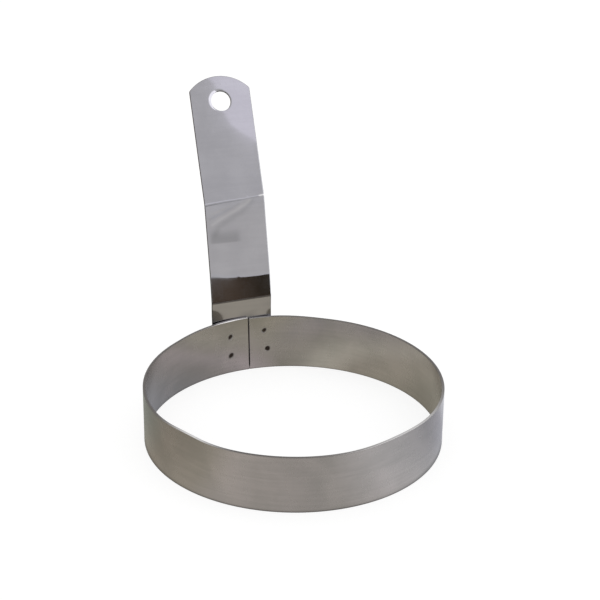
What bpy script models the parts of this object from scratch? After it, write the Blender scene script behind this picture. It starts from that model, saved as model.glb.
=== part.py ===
"""Egg ring: a rolled steel band with a folded strip handle, held by four spot welds.

Both strips are modelled as the shop makes them. Each starts as a flat blank with its
corners trimmed. The band's blank is rolled up until its ends butt at a narrow seam. The
handle's blank is folded along its bend lines, and its tab is pressed round the band,
behind the seam, where the four welds hold both ends of the band and the handle at once.

Run it with: blender --background --python part.py
Lengths are metres, +Z is up, the handle stands at +Y and the band rests on Z = 0.
"""

import math
from typing import NamedTuple

import bmesh
import bpy
import numpy as np
from mathutils import Matrix, Vector

MM = 0.001

# Band: a 1 inch strip of 18 gauge sheet, rolled to a 5 inch inner diameter
RING_INNER_DIAMETER = 127.0 * MM
BAND_HEIGHT = 25.4 * MM
BAND_THICKNESS = 1.2 * MM
SEAM_GAP = 0.5 * MM
BAND_CORNER_RADIUS = 0.8 * MM

# Handle: a 1 1/8 inch strip of the same sheet, measured up its face from the band's rim
HANDLE_WIDTH = 28.6 * MM
HANDLE_THICKNESS = 1.2 * MM
HANDLE_LENGTH = 113.7 * MM
HANDLE_CROWN = 6.3 * MM
HANDLE_TIP_CORNER = 0.9 * MM
TAB_ABOVE_BAND_FOOT = 1.0 * MM
TAB_CORNER_RADIUS = 2.0 * MM

# The handle was welded on a little crooked: off to the left, with its tip to the right
HANDLE_LEFT = 1.8 * MM
HANDLE_TILT = 1.7

# Bends of the handle, from the rim up: each tips what is above it away from the ring,
# and its line slants up to the right by its skew
FOOT_BEND_HEIGHT = 9.4 * MM
FOOT_BEND_ANGLE = 11.8
FOOT_BEND_RADIUS = 6.0 * MM
FOOT_BEND_SKEW = 2.5
SHIN_BEND_HEIGHT = 21.0 * MM
SHIN_BEND_ANGLE = 3.5
SHIN_BEND_RADIUS = 12.0 * MM
SHIN_BEND_SKEW = -4.0
CREASE_HEIGHT = 55.2 * MM
CREASE_ANGLE = 12.1
CREASE_RADIUS = 4.0 * MM
CREASE_SKEW = 7.0

# Flare: the pull of the handle has leaned the band's wall out behind the seam
RIM_FLARE = 1.7 * MM
FLARE_FLAT = 12.5 * MM
FLARE_END = 41.0 * MM

# The tab follows the band's curve up to the first height, and is flat from the second
TAB_CURVED_BELOW = -12.0 * MM
TAB_FLAT_ABOVE = 9.0 * MM

# Hanging hole, punched from the side that faces the ring
HOLE_DIAMETER = 9.3 * MM
HOLE_BELOW_TIP = 11.8 * MM
HOLE_EDGE_ROLL = 0.6 * MM

# Spot welds, set by hand: each one's arc to the right of +Y and height above the foot
WELD_PLACES = (
    ("upper_left", -8.2 * MM, 17.8 * MM),
    ("upper_right", 8.3 * MM, 18.8 * MM),
    ("lower_left", -8.0 * MM, 8.5 * MM),
    ("lower_right", 9.7 * MM, 9.5 * MM),
)
WELD_PIT_DIAMETER = 1.9 * MM
WELD_PIT_DEPTH = 0.25 * MM
WELD_NUGGET_DIAMETER = 2.8 * MM
WELD_NUGGET_DEPTH = 0.9 * MM
WELD_MARK_DIAMETER = 2.4 * MM
WELD_MARK_DEPTH = 0.12 * MM
WELD_DISH = 0.12 * MM

# Seam: it lies a little right of +Y
SEAM_RIGHT = 1.0 * MM

# Fits and edge finish
SEAT_GAP = 0.3 * MM
WELD_GAP = 0.3 * MM
EDGE_ROUND = 0.2 * MM

# Fineness of the meshes
BAND_STEPS = 144
HANDLE_STEPS_ACROSS = 14
TAB_ROWS = 2
ROWS_BELOW_BENDS = (7, 4, 5)
ROWS_IN_BENDS = (3, 2, 4)
ROWS_TO_TIP = 6
EDGE_SEGMENTS = 2
CORNER_SEGMENTS = 3
ROLL_SEGMENTS = 4
HOLE_STEPS = 48
WELD_STEPS = 24
MERGE_DISTANCE = 0.00001
SHARP_EDGE_ANGLE = 60.0

# What follows from the sizes above
RING_INNER_RADIUS = RING_INNER_DIAMETER / 2
RING_OUTER_RADIUS = RING_INNER_RADIUS + BAND_THICKNESS
BAND_MIDDLE_RADIUS = RING_INNER_RADIUS + BAND_THICKNESS / 2
SEAT_RADIUS = RING_OUTER_RADIUS + SEAT_GAP
TAB_BOTTOM = TAB_ABOVE_BAND_FOOT - BAND_HEIGHT
HALF_WIDTH = HANDLE_WIDTH / 2
LEAN = math.atan(RIM_FLARE / BAND_HEIGHT)
CROWN_RADIUS = (HALF_WIDTH**2 + HANDLE_CROWN**2) / (2 * HANDLE_CROWN)

STEEL_COLOUR = (0.46, 0.45, 0.44, 1.0)
STEEL_ROUGHNESS = 0.28
WELD_COLOUR = (0.16, 0.11, 0.08, 1.0)
WELD_ROUGHNESS = 0.6


class Bend(NamedTuple):
    """One bend line across the handle: its height, turn, radius and slant."""

    height: float
    angle: float
    radius: float
    skew: float


BENDS = (
    Bend(FOOT_BEND_HEIGHT, FOOT_BEND_ANGLE, FOOT_BEND_RADIUS, FOOT_BEND_SKEW),
    Bend(SHIN_BEND_HEIGHT, SHIN_BEND_ANGLE, SHIN_BEND_RADIUS, SHIN_BEND_SKEW),
    Bend(CREASE_HEIGHT, CREASE_ANGLE, CREASE_RADIUS, CREASE_SKEW),
)


def clear_scene():
    """Removes every object, so that the model is all that the file holds."""
    for old in list(bpy.data.objects):
        bpy.data.objects.remove(old, do_unlink=True)


def new_collection(name):
    """Makes a collection in the scene."""
    collection = bpy.data.collections.new(name)
    bpy.context.scene.collection.children.link(collection)
    return collection


def metal(name, colour, roughness):
    """A bare metal as a Principled material."""
    material = bpy.data.materials.new(name)
    material.use_nodes = True
    shader = material.node_tree.nodes["Principled BSDF"]
    shader.inputs["Base Color"].default_value = colour
    shader.inputs["Metallic"].default_value = 1.0
    shader.inputs["Roughness"].default_value = roughness
    material.diffuse_color = colour
    return material


def new_object(name, mesh, collection, material=None):
    """Puts a mesh in a collection as an object, shaded smooth between its sharp edges."""
    mesh.shade_smooth()
    mesh.set_sharp_from_angle(angle=math.radians(SHARP_EDGE_ANGLE))
    made = bpy.data.objects.new(name, mesh)
    collection.objects.link(made)
    if material:
        mesh.materials.append(material)
    return made


def flat_blank(columns, stations, place, corner_radii):
    """Cuts a flat blank with rounded corners, as a grid in the XZ plane.

    columns is the number of cells across, and stations are the rows' places, lowest
    first. place(across, station) gives X and Z for a share of the width and a station.
    corner_radii are those of the lower and of the upper two corners.
    """
    sheet = bmesh.new()
    bmesh.ops.create_grid(sheet, x_segments=columns, y_segments=len(stations) - 1, size=1.0)
    rows = np.arange(len(stations))
    for vertex in sheet.verts:
        across = vertex.co.x
        station = np.interp((vertex.co.y + 1) / 2 * rows[-1], rows, stations)
        x, z = place(across, station)
        vertex.co = (x, 0.0, z)
    middle = (stations[0] + stations[-1]) / 2
    corners = [vertex for vertex in sheet.verts if len(vertex.link_edges) == 2]
    lower = [vertex for vertex in corners if vertex.co.z < middle]
    upper = [vertex for vertex in corners if vertex.co.z > middle]
    for chosen, radius in zip((lower, upper), corner_radii):
        bmesh.ops.bevel(
            sheet,
            geom=chosen,
            offset=radius,
            segments=CORNER_SEGMENTS,
            profile=0.5,
            affect="VERTICES",
        )
    return sheet


def reshape(sheet, name, shaping):
    """Runs a blank's points through a shaping function and returns the finished mesh."""
    mesh = bpy.data.meshes.new(name)
    sheet.to_mesh(mesh)
    sheet.free()
    points = np.empty(len(mesh.vertices) * 3)
    mesh.vertices.foreach_get("co", points)
    points = shaping(points.reshape(-1, 3))
    mesh.vertices.foreach_set("co", points.ravel())
    mesh.update()
    return mesh


def thicken(sheet_object, thickness, offset):
    """Gives an open sheet its gauge and rounds the sheared edges."""
    gauge = sheet_object.modifiers.new("gauge", "SOLIDIFY")
    gauge.thickness = thickness
    gauge.offset = offset
    gauge.use_even_offset = True
    edges = sheet_object.modifiers.new("edge_round", "BEVEL")
    edges.limit_method = "ANGLE"
    edges.angle_limit = math.radians(SHARP_EDGE_ANGLE)
    edges.width = EDGE_ROUND
    edges.segments = EDGE_SEGMENTS


def turned(name, profile, steps, collection, material=None):
    """Turns a profile of (radius, height) points, listed from the top down, round Z."""
    mesh = bpy.data.meshes.new(name)
    corners = [(radius, 0.0, height) for radius, height in profile]
    edges = [(index, index + 1) for index in range(len(corners) - 1)]
    mesh.from_pydata(corners, edges, [])
    made = new_object(name, mesh, collection, material)
    spin = made.modifiers.new("turn", "SCREW")
    spin.steps = steps
    spin.render_steps = steps
    spin.use_merge_vertices = True
    spin.merge_threshold = MERGE_DISTANCE
    return made


def cut(target, cutter):
    """Takes the cutter out of the target and hides the cutter from renders."""
    hollow = target.modifiers.new(cutter.name, "BOOLEAN")
    hollow.operation = "DIFFERENCE"
    hollow.solver = "EXACT"
    hollow.object = cutter
    cutter.hide_render = True
    cutter.display_type = "WIRE"


def fold(points, bend):
    """Tips all of a sheet that lies beyond a bend line, and rolls the strip along the line.

    Before the line a point stays. On it, the sheet follows an arc of the bend's radius,
    half of it on each side of the line. Beyond it, the sheet goes on straight along the
    arc's last direction.
    """
    skew = math.radians(bend.skew)
    along = np.array((math.cos(skew), 0.0, math.sin(skew)))
    across = np.array((-math.sin(skew), 0.0, math.cos(skew)))
    foot = np.array((0.0, 0.0, bend.height))
    length = bend.radius * math.radians(bend.angle)
    start = -length / 2
    offset = points - foot
    distance = offset @ across
    rolled = np.clip(distance - start, 0.0, length)
    turn = rolled / bend.radius
    rest = distance - start - rolled
    proud = offset[:, 1]
    rise = start + bend.radius * np.sin(turn) + rest * np.cos(turn) - proud * np.sin(turn)
    back = bend.radius * (1 - np.cos(turn)) + rest * np.sin(turn) + proud * np.cos(turn)
    folded = foot + np.outer(offset @ along, along) + np.outer(rise, across)
    folded[:, 1] = back
    return folded


def eased(low, high, values):
    """Runs smoothly from 0 at low to 1 at high."""
    share = np.clip((values - low) / (high - low), 0.0, 1.0)
    return share * share * (3 - 2 * share)


def flare(angle, height):
    """How far the wall has moved outwards, at an angle round from +X and a height."""
    right = np.arctan2(np.cos(angle), np.sin(angle)) * SEAT_RADIUS
    share = 1 - eased(FLARE_FLAT, FLARE_END, np.abs(right + HANDLE_LEFT))
    return RIM_FLARE * share * height / BAND_HEIGHT


def wrap_on_band(points):
    """Presses the tab round the band, easing it flat towards the first bend."""
    hold = 1 - eased(TAB_CURVED_BELOW, TAB_FLAT_ABOVE, points[:, 2])
    angle = points[:, 0] / SEAT_RADIUS
    wrapped = points.copy()
    wrapped[:, 0] += hold * (SEAT_RADIUS * np.sin(angle) - points[:, 0])
    wrapped[:, 1] -= hold * SEAT_RADIUS * (1 - np.cos(angle))
    return wrapped


def lean_back(points):
    """Leans the handle out with the band's wall, about a line along the band's foot."""
    x, y, z = points.T
    height = z + BAND_HEIGHT
    back = y * math.cos(LEAN) + height * math.sin(LEAN)
    rise = height * math.cos(LEAN) - y * math.sin(LEAN)
    return np.column_stack((x, back, rise))


def shape_handle(points):
    """Folds the flat blank along every bend, the highest first, and sets it on the band."""
    for bend in reversed(BENDS):
        points = fold(points, bend)
    x, y, z = points.T
    tilt = math.radians(HANDLE_TILT)
    across = x * math.cos(tilt) + z * math.sin(tilt) - HANDLE_LEFT
    height = z * math.cos(tilt) - x * math.sin(tilt)
    return lean_back(wrap_on_band(np.column_stack((across, y, height))))


def crown_drop(x):
    """How far the crowned end has fallen, x away from the handle's middle."""
    return CROWN_RADIUS - math.sqrt(CROWN_RADIUS**2 - x**2)


def ring_centre_y():
    """Y of the ring's axis that puts the origin under the middle of the whole object."""
    edge = [
        (x, HANDLE_THICKNESS, HANDLE_LENGTH - crown_drop(x))
        for x in np.linspace(-HALF_WIDTH, HALF_WIDTH, HANDLE_STEPS_ACROSS + 1)
    ]
    reach = SEAT_RADIUS + shape_handle(np.array(edge))[:, 1].max()
    return (RING_OUTER_RADIUS - reach) / 2


def seam_angle():
    """Angle of the seam round the ring, anticlockwise from +X."""
    return math.pi / 2 - SEAM_RIGHT / BAND_MIDDLE_RADIUS


def make_ring_band(collection, steel, centre):
    """Rolls the band: its blank bent round the ring's axis until the ends butt.

    Where the wall leans out, it is lifted by as much as its outer edge would dip.
    """
    length = math.tau * BAND_MIDDLE_RADIUS - SEAM_GAP
    start = seam_angle() + SEAM_GAP / 2 / BAND_MIDDLE_RADIUS

    def place(across, station):
        return (across + 1) / 2 * length, station

    def roll(points):
        angle = start + points[:, 0] / BAND_MIDDLE_RADIUS
        radius = BAND_MIDDLE_RADIUS + flare(angle, points[:, 2])
        lift = flare(angle, BAND_HEIGHT) / BAND_HEIGHT * BAND_THICKNESS / 2
        return np.column_stack((radius * np.cos(angle), radius * np.sin(angle), points[:, 2] + lift))

    radii = (BAND_CORNER_RADIUS, BAND_CORNER_RADIUS)
    blank = flat_blank(BAND_STEPS, (0.0, BAND_HEIGHT), place, radii)
    band = new_object("ring_band", reshape(blank, "ring_band", roll), collection, steel)
    thicken(band, BAND_THICKNESS, 0.0)
    band.parent = centre
    return band


def bend_span(bend):
    """Where a bend's arc begins and ends, up the handle's middle."""
    half = bend.radius * math.radians(bend.angle) / 2
    return bend.height - half, bend.height + half


def handle_stations():
    """Rows of the handle's blank: closer together where it bends."""
    stations = list(np.linspace(TAB_BOTTOM, TAB_CURVED_BELOW, TAB_ROWS + 1))
    for bend, below, inside in zip(BENDS, ROWS_BELOW_BENDS, ROWS_IN_BENDS):
        start, end = bend_span(bend)
        stations += list(np.linspace(stations[-1], start, below + 1)[1:])
        stations += list(np.linspace(start, end, inside + 1)[1:])
    stations += list(np.linspace(stations[-1], HANDLE_LENGTH, ROWS_TO_TIP + 1)[1:])
    return stations


def make_handle(collection, steel, centre):
    """Folds the handle: a strip with a crowned end, bent back twice, on a curved tab."""
    heights = [0.0]
    slopes = [0.0]
    for bend in BENDS:
        heights += bend_span(bend)
        slopes += [math.tan(math.radians(bend.skew))] * 2
    heights.append(HANDLE_LENGTH)
    slopes.append(0.0)

    def place(across, station):
        x = across * HALF_WIDTH
        slope = np.interp(station, heights, slopes)
        above_crease = max(0.0, station - CREASE_HEIGHT) / (HANDLE_LENGTH - CREASE_HEIGHT)
        return x, station + slope * x - above_crease * crown_drop(x)

    radii = (TAB_CORNER_RADIUS, HANDLE_TIP_CORNER)
    blank = flat_blank(HANDLE_STEPS_ACROSS, handle_stations(), place, radii)
    mesh = reshape(blank, "handle", shape_handle)
    handle = new_object("handle", mesh, collection, steel)
    thicken(handle, HANDLE_THICKNESS, -1.0)
    handle.location = (0.0, SEAT_RADIUS, 0.0)
    handle.parent = centre
    return handle


def punch_hanging_hole(handle, cutters):
    """Punches the hole square to the handle's upper leaf, with its front edge rolled in."""
    hole_height = HANDLE_LENGTH - HOLE_BELOW_TIP
    probe = np.array([[0.0, 0.0, hole_height], [MM, 0.0, hole_height], [0.0, 0.0, HANDLE_LENGTH]])
    centre, beside, above = (Vector(point) for point in shape_handle(probe))
    right = (beside - centre).normalized()
    front = right.cross(above - centre).normalized()
    up = front.cross(right)
    radius = HOLE_DIAMETER / 2
    rolled_radius = radius + HOLE_EDGE_ROLL
    profile = [(0.0, HANDLE_THICKNESS), (rolled_radius, HANDLE_THICKNESS), (rolled_radius, 0.0)]
    for step in range(1, ROLL_SEGMENTS + 1):
        turn = math.pi / 2 * step / ROLL_SEGMENTS
        across = rolled_radius - HOLE_EDGE_ROLL * math.sin(turn)
        profile.append((across, -HOLE_EDGE_ROLL * (1 - math.cos(turn))))
    profile += [(radius, -2 * HANDLE_THICKNESS), (0.0, -2 * HANDLE_THICKNESS)]
    punch = turned("hole_punch", profile, HOLE_STEPS, cutters)
    axes = Matrix((right, up, front)).transposed().to_4x4()
    punch.matrix_world = Matrix.Translation(centre) @ axes
    punch.parent = handle
    cut(handle, punch)


def weld_side(gap):
    """Side of a weld, as (radius, distance from the ring's axis), the outer end first.

    The weld is widest where the two sheets meet. It ends in a pit on the inner face and
    in the shallow mark of the electrode on the outer one. gap widens it for a seat.
    """
    joint = RING_OUTER_RADIUS + SEAT_GAP / 2
    nugget = WELD_NUGGET_DIAMETER / 2 + gap
    return [
        (WELD_MARK_DIAMETER / 2 + gap, SEAT_RADIUS + HANDLE_THICKNESS - WELD_MARK_DEPTH),
        (nugget, joint + WELD_NUGGET_DEPTH / 2),
        (nugget, joint - WELD_NUGGET_DEPTH / 2),
        (WELD_PIT_DIAMETER / 2 + gap, RING_INNER_RADIUS + WELD_PIT_DEPTH),
    ]


def weld_profile():
    """Profile of a weld: both of its ends are dished."""
    side = weld_side(0.0)
    outer, inner = side[0][1], side[-1][1]
    return [(0.0, outer - WELD_DISH)] + side + [(0.0, inner + WELD_DISH)]


def seat_profile():
    """Profile of a weld's seat: it runs straight on out of both sheets."""
    side = weld_side(WELD_GAP)
    outer = side[0][1] + BAND_THICKNESS
    inner = side[-1][1] - BAND_THICKNESS
    return [(0.0, outer), (side[0][0], outer)] + side + [(side[-1][0], inner), (0.0, inner)]


def make_spot_welds(collection, material, centre, sheets, cutters):
    """Sets the four welds through both sheets, each in a seat cut to its own profile."""
    wall = Matrix.Translation((0.0, SEAT_RADIUS, 0.0))
    lean = wall @ Matrix.Rotation(-LEAN, 4, "X") @ wall.inverted()
    for place, across, height in WELD_PLACES:
        name = f"spot_weld_{place}"
        bearing = math.pi / 2 - across / SEAT_RADIUS
        aim = Matrix.Rotation(bearing, 4, "Z") @ Matrix.Rotation(math.pi / 2, 4, "Y")
        stand = lean @ Matrix.Translation((0.0, 0.0, height)) @ aim
        weld = turned(name, weld_profile(), WELD_STEPS, collection, material)
        seat = turned(f"{name}_seat", seat_profile(), WELD_STEPS, cutters)
        for piece in (weld, seat):
            piece.matrix_world = stand
            piece.parent = centre
        for sheet in sheets:
            cut(sheet, seat)


def make_egg_ring():
    """Builds the egg ring with its origin under the middle of its box."""
    clear_scene()
    parts = new_collection("egg_ring")
    cutters = new_collection("egg_ring_cutters")
    steel = metal("stainless_steel", STEEL_COLOUR, STEEL_ROUGHNESS)
    oxide = metal("weld_oxide", WELD_COLOUR, WELD_ROUGHNESS)
    centre = bpy.data.objects.new("ring_axis", None)
    parts.objects.link(centre)
    centre.location = (0.0, ring_centre_y(), 0.0)
    band = make_ring_band(parts, steel, centre)
    handle = make_handle(parts, steel, centre)
    punch_hanging_hole(handle, cutters)
    make_spot_welds(parts, oxide, centre, (band, handle), cutters)
    bpy.context.view_layer.update()


make_egg_ring()
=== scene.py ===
"""Egg ring: a rolled steel band, a folded strip handle and four spot welds.

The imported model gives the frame. Every surface that shows is worked out again here on a
fine grid, with the rolled edges, weld pits, creases and punched hole of the real sheet
steel, and is dressed in a finish made of nodes. A plain studio goes round it.

Lengths are metres. +Z is up, the handle stands at +Y and the band rests on Z = 0.
"""

from __future__ import annotations

import logging
import math
from collections.abc import Sequence
from dataclasses import dataclass, field
from enum import Enum

import bpy
import numpy as np
from mathutils import Matrix, Vector

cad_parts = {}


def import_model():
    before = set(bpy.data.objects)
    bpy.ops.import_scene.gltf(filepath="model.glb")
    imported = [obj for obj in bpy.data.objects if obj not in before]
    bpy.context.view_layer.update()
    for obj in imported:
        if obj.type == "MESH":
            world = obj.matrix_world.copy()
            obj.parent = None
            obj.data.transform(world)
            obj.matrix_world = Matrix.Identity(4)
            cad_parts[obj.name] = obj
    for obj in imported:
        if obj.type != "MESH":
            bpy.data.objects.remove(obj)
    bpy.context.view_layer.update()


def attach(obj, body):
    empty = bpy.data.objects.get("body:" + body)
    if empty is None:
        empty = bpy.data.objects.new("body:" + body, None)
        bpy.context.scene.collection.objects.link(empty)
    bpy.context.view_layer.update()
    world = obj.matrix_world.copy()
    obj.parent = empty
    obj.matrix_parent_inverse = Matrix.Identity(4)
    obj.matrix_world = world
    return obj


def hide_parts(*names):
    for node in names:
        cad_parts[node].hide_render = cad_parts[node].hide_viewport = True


MM = 0.001
AXIS_Y = -24.10245 * MM
BODY = "root"
SHARP_ANGLE = math.radians(50.0)
SHEET_MAP = "sheet"
UNIT = (0.0, 1.0)
NOISE_SPAN = (0.3, 0.7)
WHITE = (1.0, 1.0, 1.0)

Array = np.ndarray
Colour = tuple[float, float, float]
Stop = tuple[float, Colour]
Socket = bpy.types.NodeSocket
Feed = Socket | Colour | float

log = logging.getLogger("egg_ring")


class Node(Enum):
    """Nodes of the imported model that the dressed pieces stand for."""

    BAND = "ring_band"
    HANDLE = "handle"
    UPPER_LEFT = "spot_weld_upper_left"
    UPPER_RIGHT = "spot_weld_upper_right"
    LOWER_LEFT = "spot_weld_lower_left"
    LOWER_RIGHT = "spot_weld_lower_right"


class Slot(Enum):
    """Material slots of the record."""

    BAND = "band_steel"
    HANDLE = "handle_steel"
    WELD = "weld_metal"


class Mark(Enum):
    """Numbers that a surface carries at its points for the finish to read."""

    HEAT = "heat"
    SCORCH = "scorch"
    EDGE = "edge"
    PAINTED_HIGHLIGHT = "shine"
    PAINTED_SHADE = "smudge"


def smooth_step(low: float, high: float, values: Array) -> Array:
    """Eases from 0 at low to 1 at high along 3x² - 2x³.

    Args:
        low: Where the easing starts.
        high: Where it ends.
        values: Numbers to ease.

    Returns:
        The eased numbers, from 0 to 1.
    """
    share = np.clip((values - low) / (high - low), 0.0, 1.0)
    return share * share * (3.0 - 2.0 * share)


def bell(values: Array, width: float) -> Array:
    """Bell curve exp(-(x / width)²), 1 at zero."""
    return np.exp(-((values / width) ** 2))


def spaced(knots: Sequence[float], steps: Sequence[float]) -> Array:
    """Lays stations from knot to knot, each span at its own spacing.

    Args:
        knots: Ends of the spans, in rising order.
        steps: Widest spacing in each span.

    Returns:
        The stations, with every knot among them once.
    """
    rows = [np.array(knots[:1])]
    for low, high, step in zip(knots[:-1], knots[1:], steps):
        count = max(1, math.ceil((high - low) / step - 1e-6))
        rows.append(np.linspace(low, high, count + 1)[1:])
    return np.concatenate(rows)


def grid_quads(index: Array) -> Array:
    """Joins a grid of point numbers into four-sided faces.

    Each face goes from a point to the next row, then on along the column, and back, so
    its normal is (down the rows) x (along the columns).

    Args:
        index: Point numbers, rows by columns.

    Returns:
        One row of four point numbers for each face.
    """
    corners = (index[:-1, :-1], index[1:, :-1], index[1:, 1:], index[:-1, 1:])
    return np.stack([corner.ravel() for corner in corners], axis=1)


def numbered(rows: int, columns: int) -> Array:
    """Numbers the points of a grid, row by row."""
    return np.arange(rows * columns).reshape(rows, columns)


def wrapped(angle: Array) -> Array:
    """The same angle, from -π to π."""
    return np.arctan2(np.sin(angle), np.cos(angle))


def fall(radius: float, out: Array | float) -> Array | float:
    """How far an arc has fallen, at a distance x out from its top: R - sqrt(R² - x²)."""
    return radius - np.sqrt(radius**2 - out**2)


def turned(x: Array, y: Array, angle: float) -> tuple[Array, Array]:
    """Parts of (x, y) along axes turned by an angle: x cos + y sin, and y cos - x sin."""
    return x * math.cos(angle) + y * math.sin(angle), y * math.cos(angle) - x * math.sin(angle)


@dataclass
class Surface:
    """A mesh as whole arrays, before it becomes an object.

    Args:
        points: Places of the points, n by 3.
        quads: Four-sided faces, as point numbers.
        quad_map: Place of each face corner on the sheet, faces by 4 by 2.
        caps: Flat many-sided faces that close open ends.
        marks: A number for each point, from 0 to 1, by what it marks.
    """

    points: Array
    quads: Array
    quad_map: Array
    caps: list[list[int]] = field(default_factory=list)
    marks: dict[Mark, Array] = field(default_factory=dict)

    def build(self, name: str) -> bpy.types.Object:
        """Makes the object, smooth between its sharp edges.

        Args:
            name: Name of the piece.

        Returns:
            The new object, at the origin.
        """
        mesh = bpy.data.meshes.new(name)
        faces = self.quads.tolist() + self.caps
        mesh.from_pydata(self.points.tolist(), [], faces)
        sheet = mesh.uv_layers.new(name=SHEET_MAP)
        places = np.zeros((len(mesh.loops), 2), np.float32)
        corners = self.quad_map.reshape(-1, 2)
        places[: len(corners)] = corners
        sheet.data.foreach_set("uv", places.ravel())
        for mark, values in self.marks.items():
            layer = mesh.attributes.new(mark.value, "FLOAT", "POINT")
            layer.data.foreach_set("value", values.astype(np.float32))
        mesh.shade_smooth()
        mesh.set_sharp_from_angle(angle=SHARP_ANGLE)
        mesh.validate()
        piece = bpy.data.objects.new(name, mesh)
        bpy.context.scene.collection.objects.link(piece)
        return piece


@dataclass(frozen=True)
class WeldSpot:
    """One spot weld: where it is, and the size and slant of the pit that shows.

    Args:
        node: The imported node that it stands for.
        across: Arc along the tab from +Y, positive to the right.
        height: Height above the band's foot.
        length: Long half-axis of the pit.
        width: Short half-axis of the pit.
        slant: Turn of the long axis from level, in degrees.
    """

    node: Node
    across: float
    height: float
    length: float
    width: float
    slant: float

    def reach(self, along: Array, up: Array) -> Array:
        """Distance from the weld's middle in pit sizes: 1 on the pit's oval edge.

        Args:
            along: Arc to the right of the weld.
            up: Height above the weld.

        Returns:
            The distance of each point, as a share of the oval's own.
        """
        major, minor = turned(along, up, math.radians(self.slant))
        return np.hypot(major / self.length, minor / self.width)


WELD_SPOTS = (
    WeldSpot(Node.UPPER_LEFT, -8.05 * MM, 17.8 * MM, 1.15 * MM, 0.84 * MM, 62.0),
    WeldSpot(Node.UPPER_RIGHT, 8.2 * MM, 18.8 * MM, 1.1 * MM, 0.72 * MM, 52.0),
    WeldSpot(Node.LOWER_LEFT, -8.0 * MM, 8.5 * MM, 1.3 * MM, 1.0 * MM, 52.0),
    WeldSpot(Node.LOWER_RIGHT, 9.7 * MM, 9.5 * MM, 1.2 * MM, 1.0 * MM, 62.0),
)


@dataclass(frozen=True)
class SeamFlare:
    """How the band's wall leans out behind the seam, where the handle pulls at it.

    Args:
        rim_reach: How far the rim has moved outwards.
        band_height: Height of the rim.
        middle: Arc from +Y to the middle of the flare, positive to the right.
        flat: Arc each side of the middle with the full lean.
        end: Arc each side of the middle where the band is round again.
        radius: Radius that the arcs are measured at.
    """

    rim_reach: float = 1.7 * MM
    band_height: float = 25.4 * MM
    middle: float = -1.8 * MM
    flat: float = 12.5 * MM
    end: float = 41.0 * MM
    radius: float = 65.0 * MM

    @property
    def lean(self) -> float:
        """Angle of the wall's lean in the middle of the flare."""
        return math.atan(self.rim_reach / self.band_height)

    def reach(self, angle: Array, height: Array) -> Array:
        """How far the wall has moved outwards.

        Args:
            angle: Angle round the ring to the right of +Y.
            height: Height above the band's foot.

        Returns:
            The outward move at each place.
        """
        aside = np.abs(wrapped(angle) * self.radius - self.middle)
        share = 1.0 - smooth_step(self.flat, self.end, aside)
        return self.rim_reach * share * height / self.band_height


FLARE = SeamFlare()


@dataclass(frozen=True)
class WeldHeat:
    """How a spot weld's heat has coloured the sheet round it.

    Args:
        halo: Reach of the straw and bronze colours.
        bloom: Reach of the faint tint beyond them.
        soot: Reach of the dark oxide, in pit sizes.
        strength: Strength of the halo and of the bloom.
    """

    halo: float = 1.8 * MM
    bloom: float = 5.5 * MM
    soot: float = 1.38
    strength: tuple[float, float] = (0.75, 0.22)

    def marks(self, along: Array, up: Array) -> tuple[Array, Array]:
        """Adds up the heat of every weld over a sheet.

        Args:
            along: Arc of each point to the right of +Y.
            up: Height of each point above the band's foot.

        Returns:
            Heat and scorch at each point, both from 0 to 1.
        """
        heat = np.zeros_like(along)
        scorch = np.zeros_like(along)
        halo, bloom = self.strength
        for spot in WELD_SPOTS:
            away = np.hypot(along - spot.across, up - spot.height)
            heat += halo * bell(away, self.halo) + bloom * bell(away, self.bloom)
            scorch += bell(spot.reach(along - spot.across, up - spot.height), self.soot)
        return np.clip(heat, 0.0, 1.0), np.clip(scorch, 0.0, 1.0)


HEAT = WeldHeat()


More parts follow.
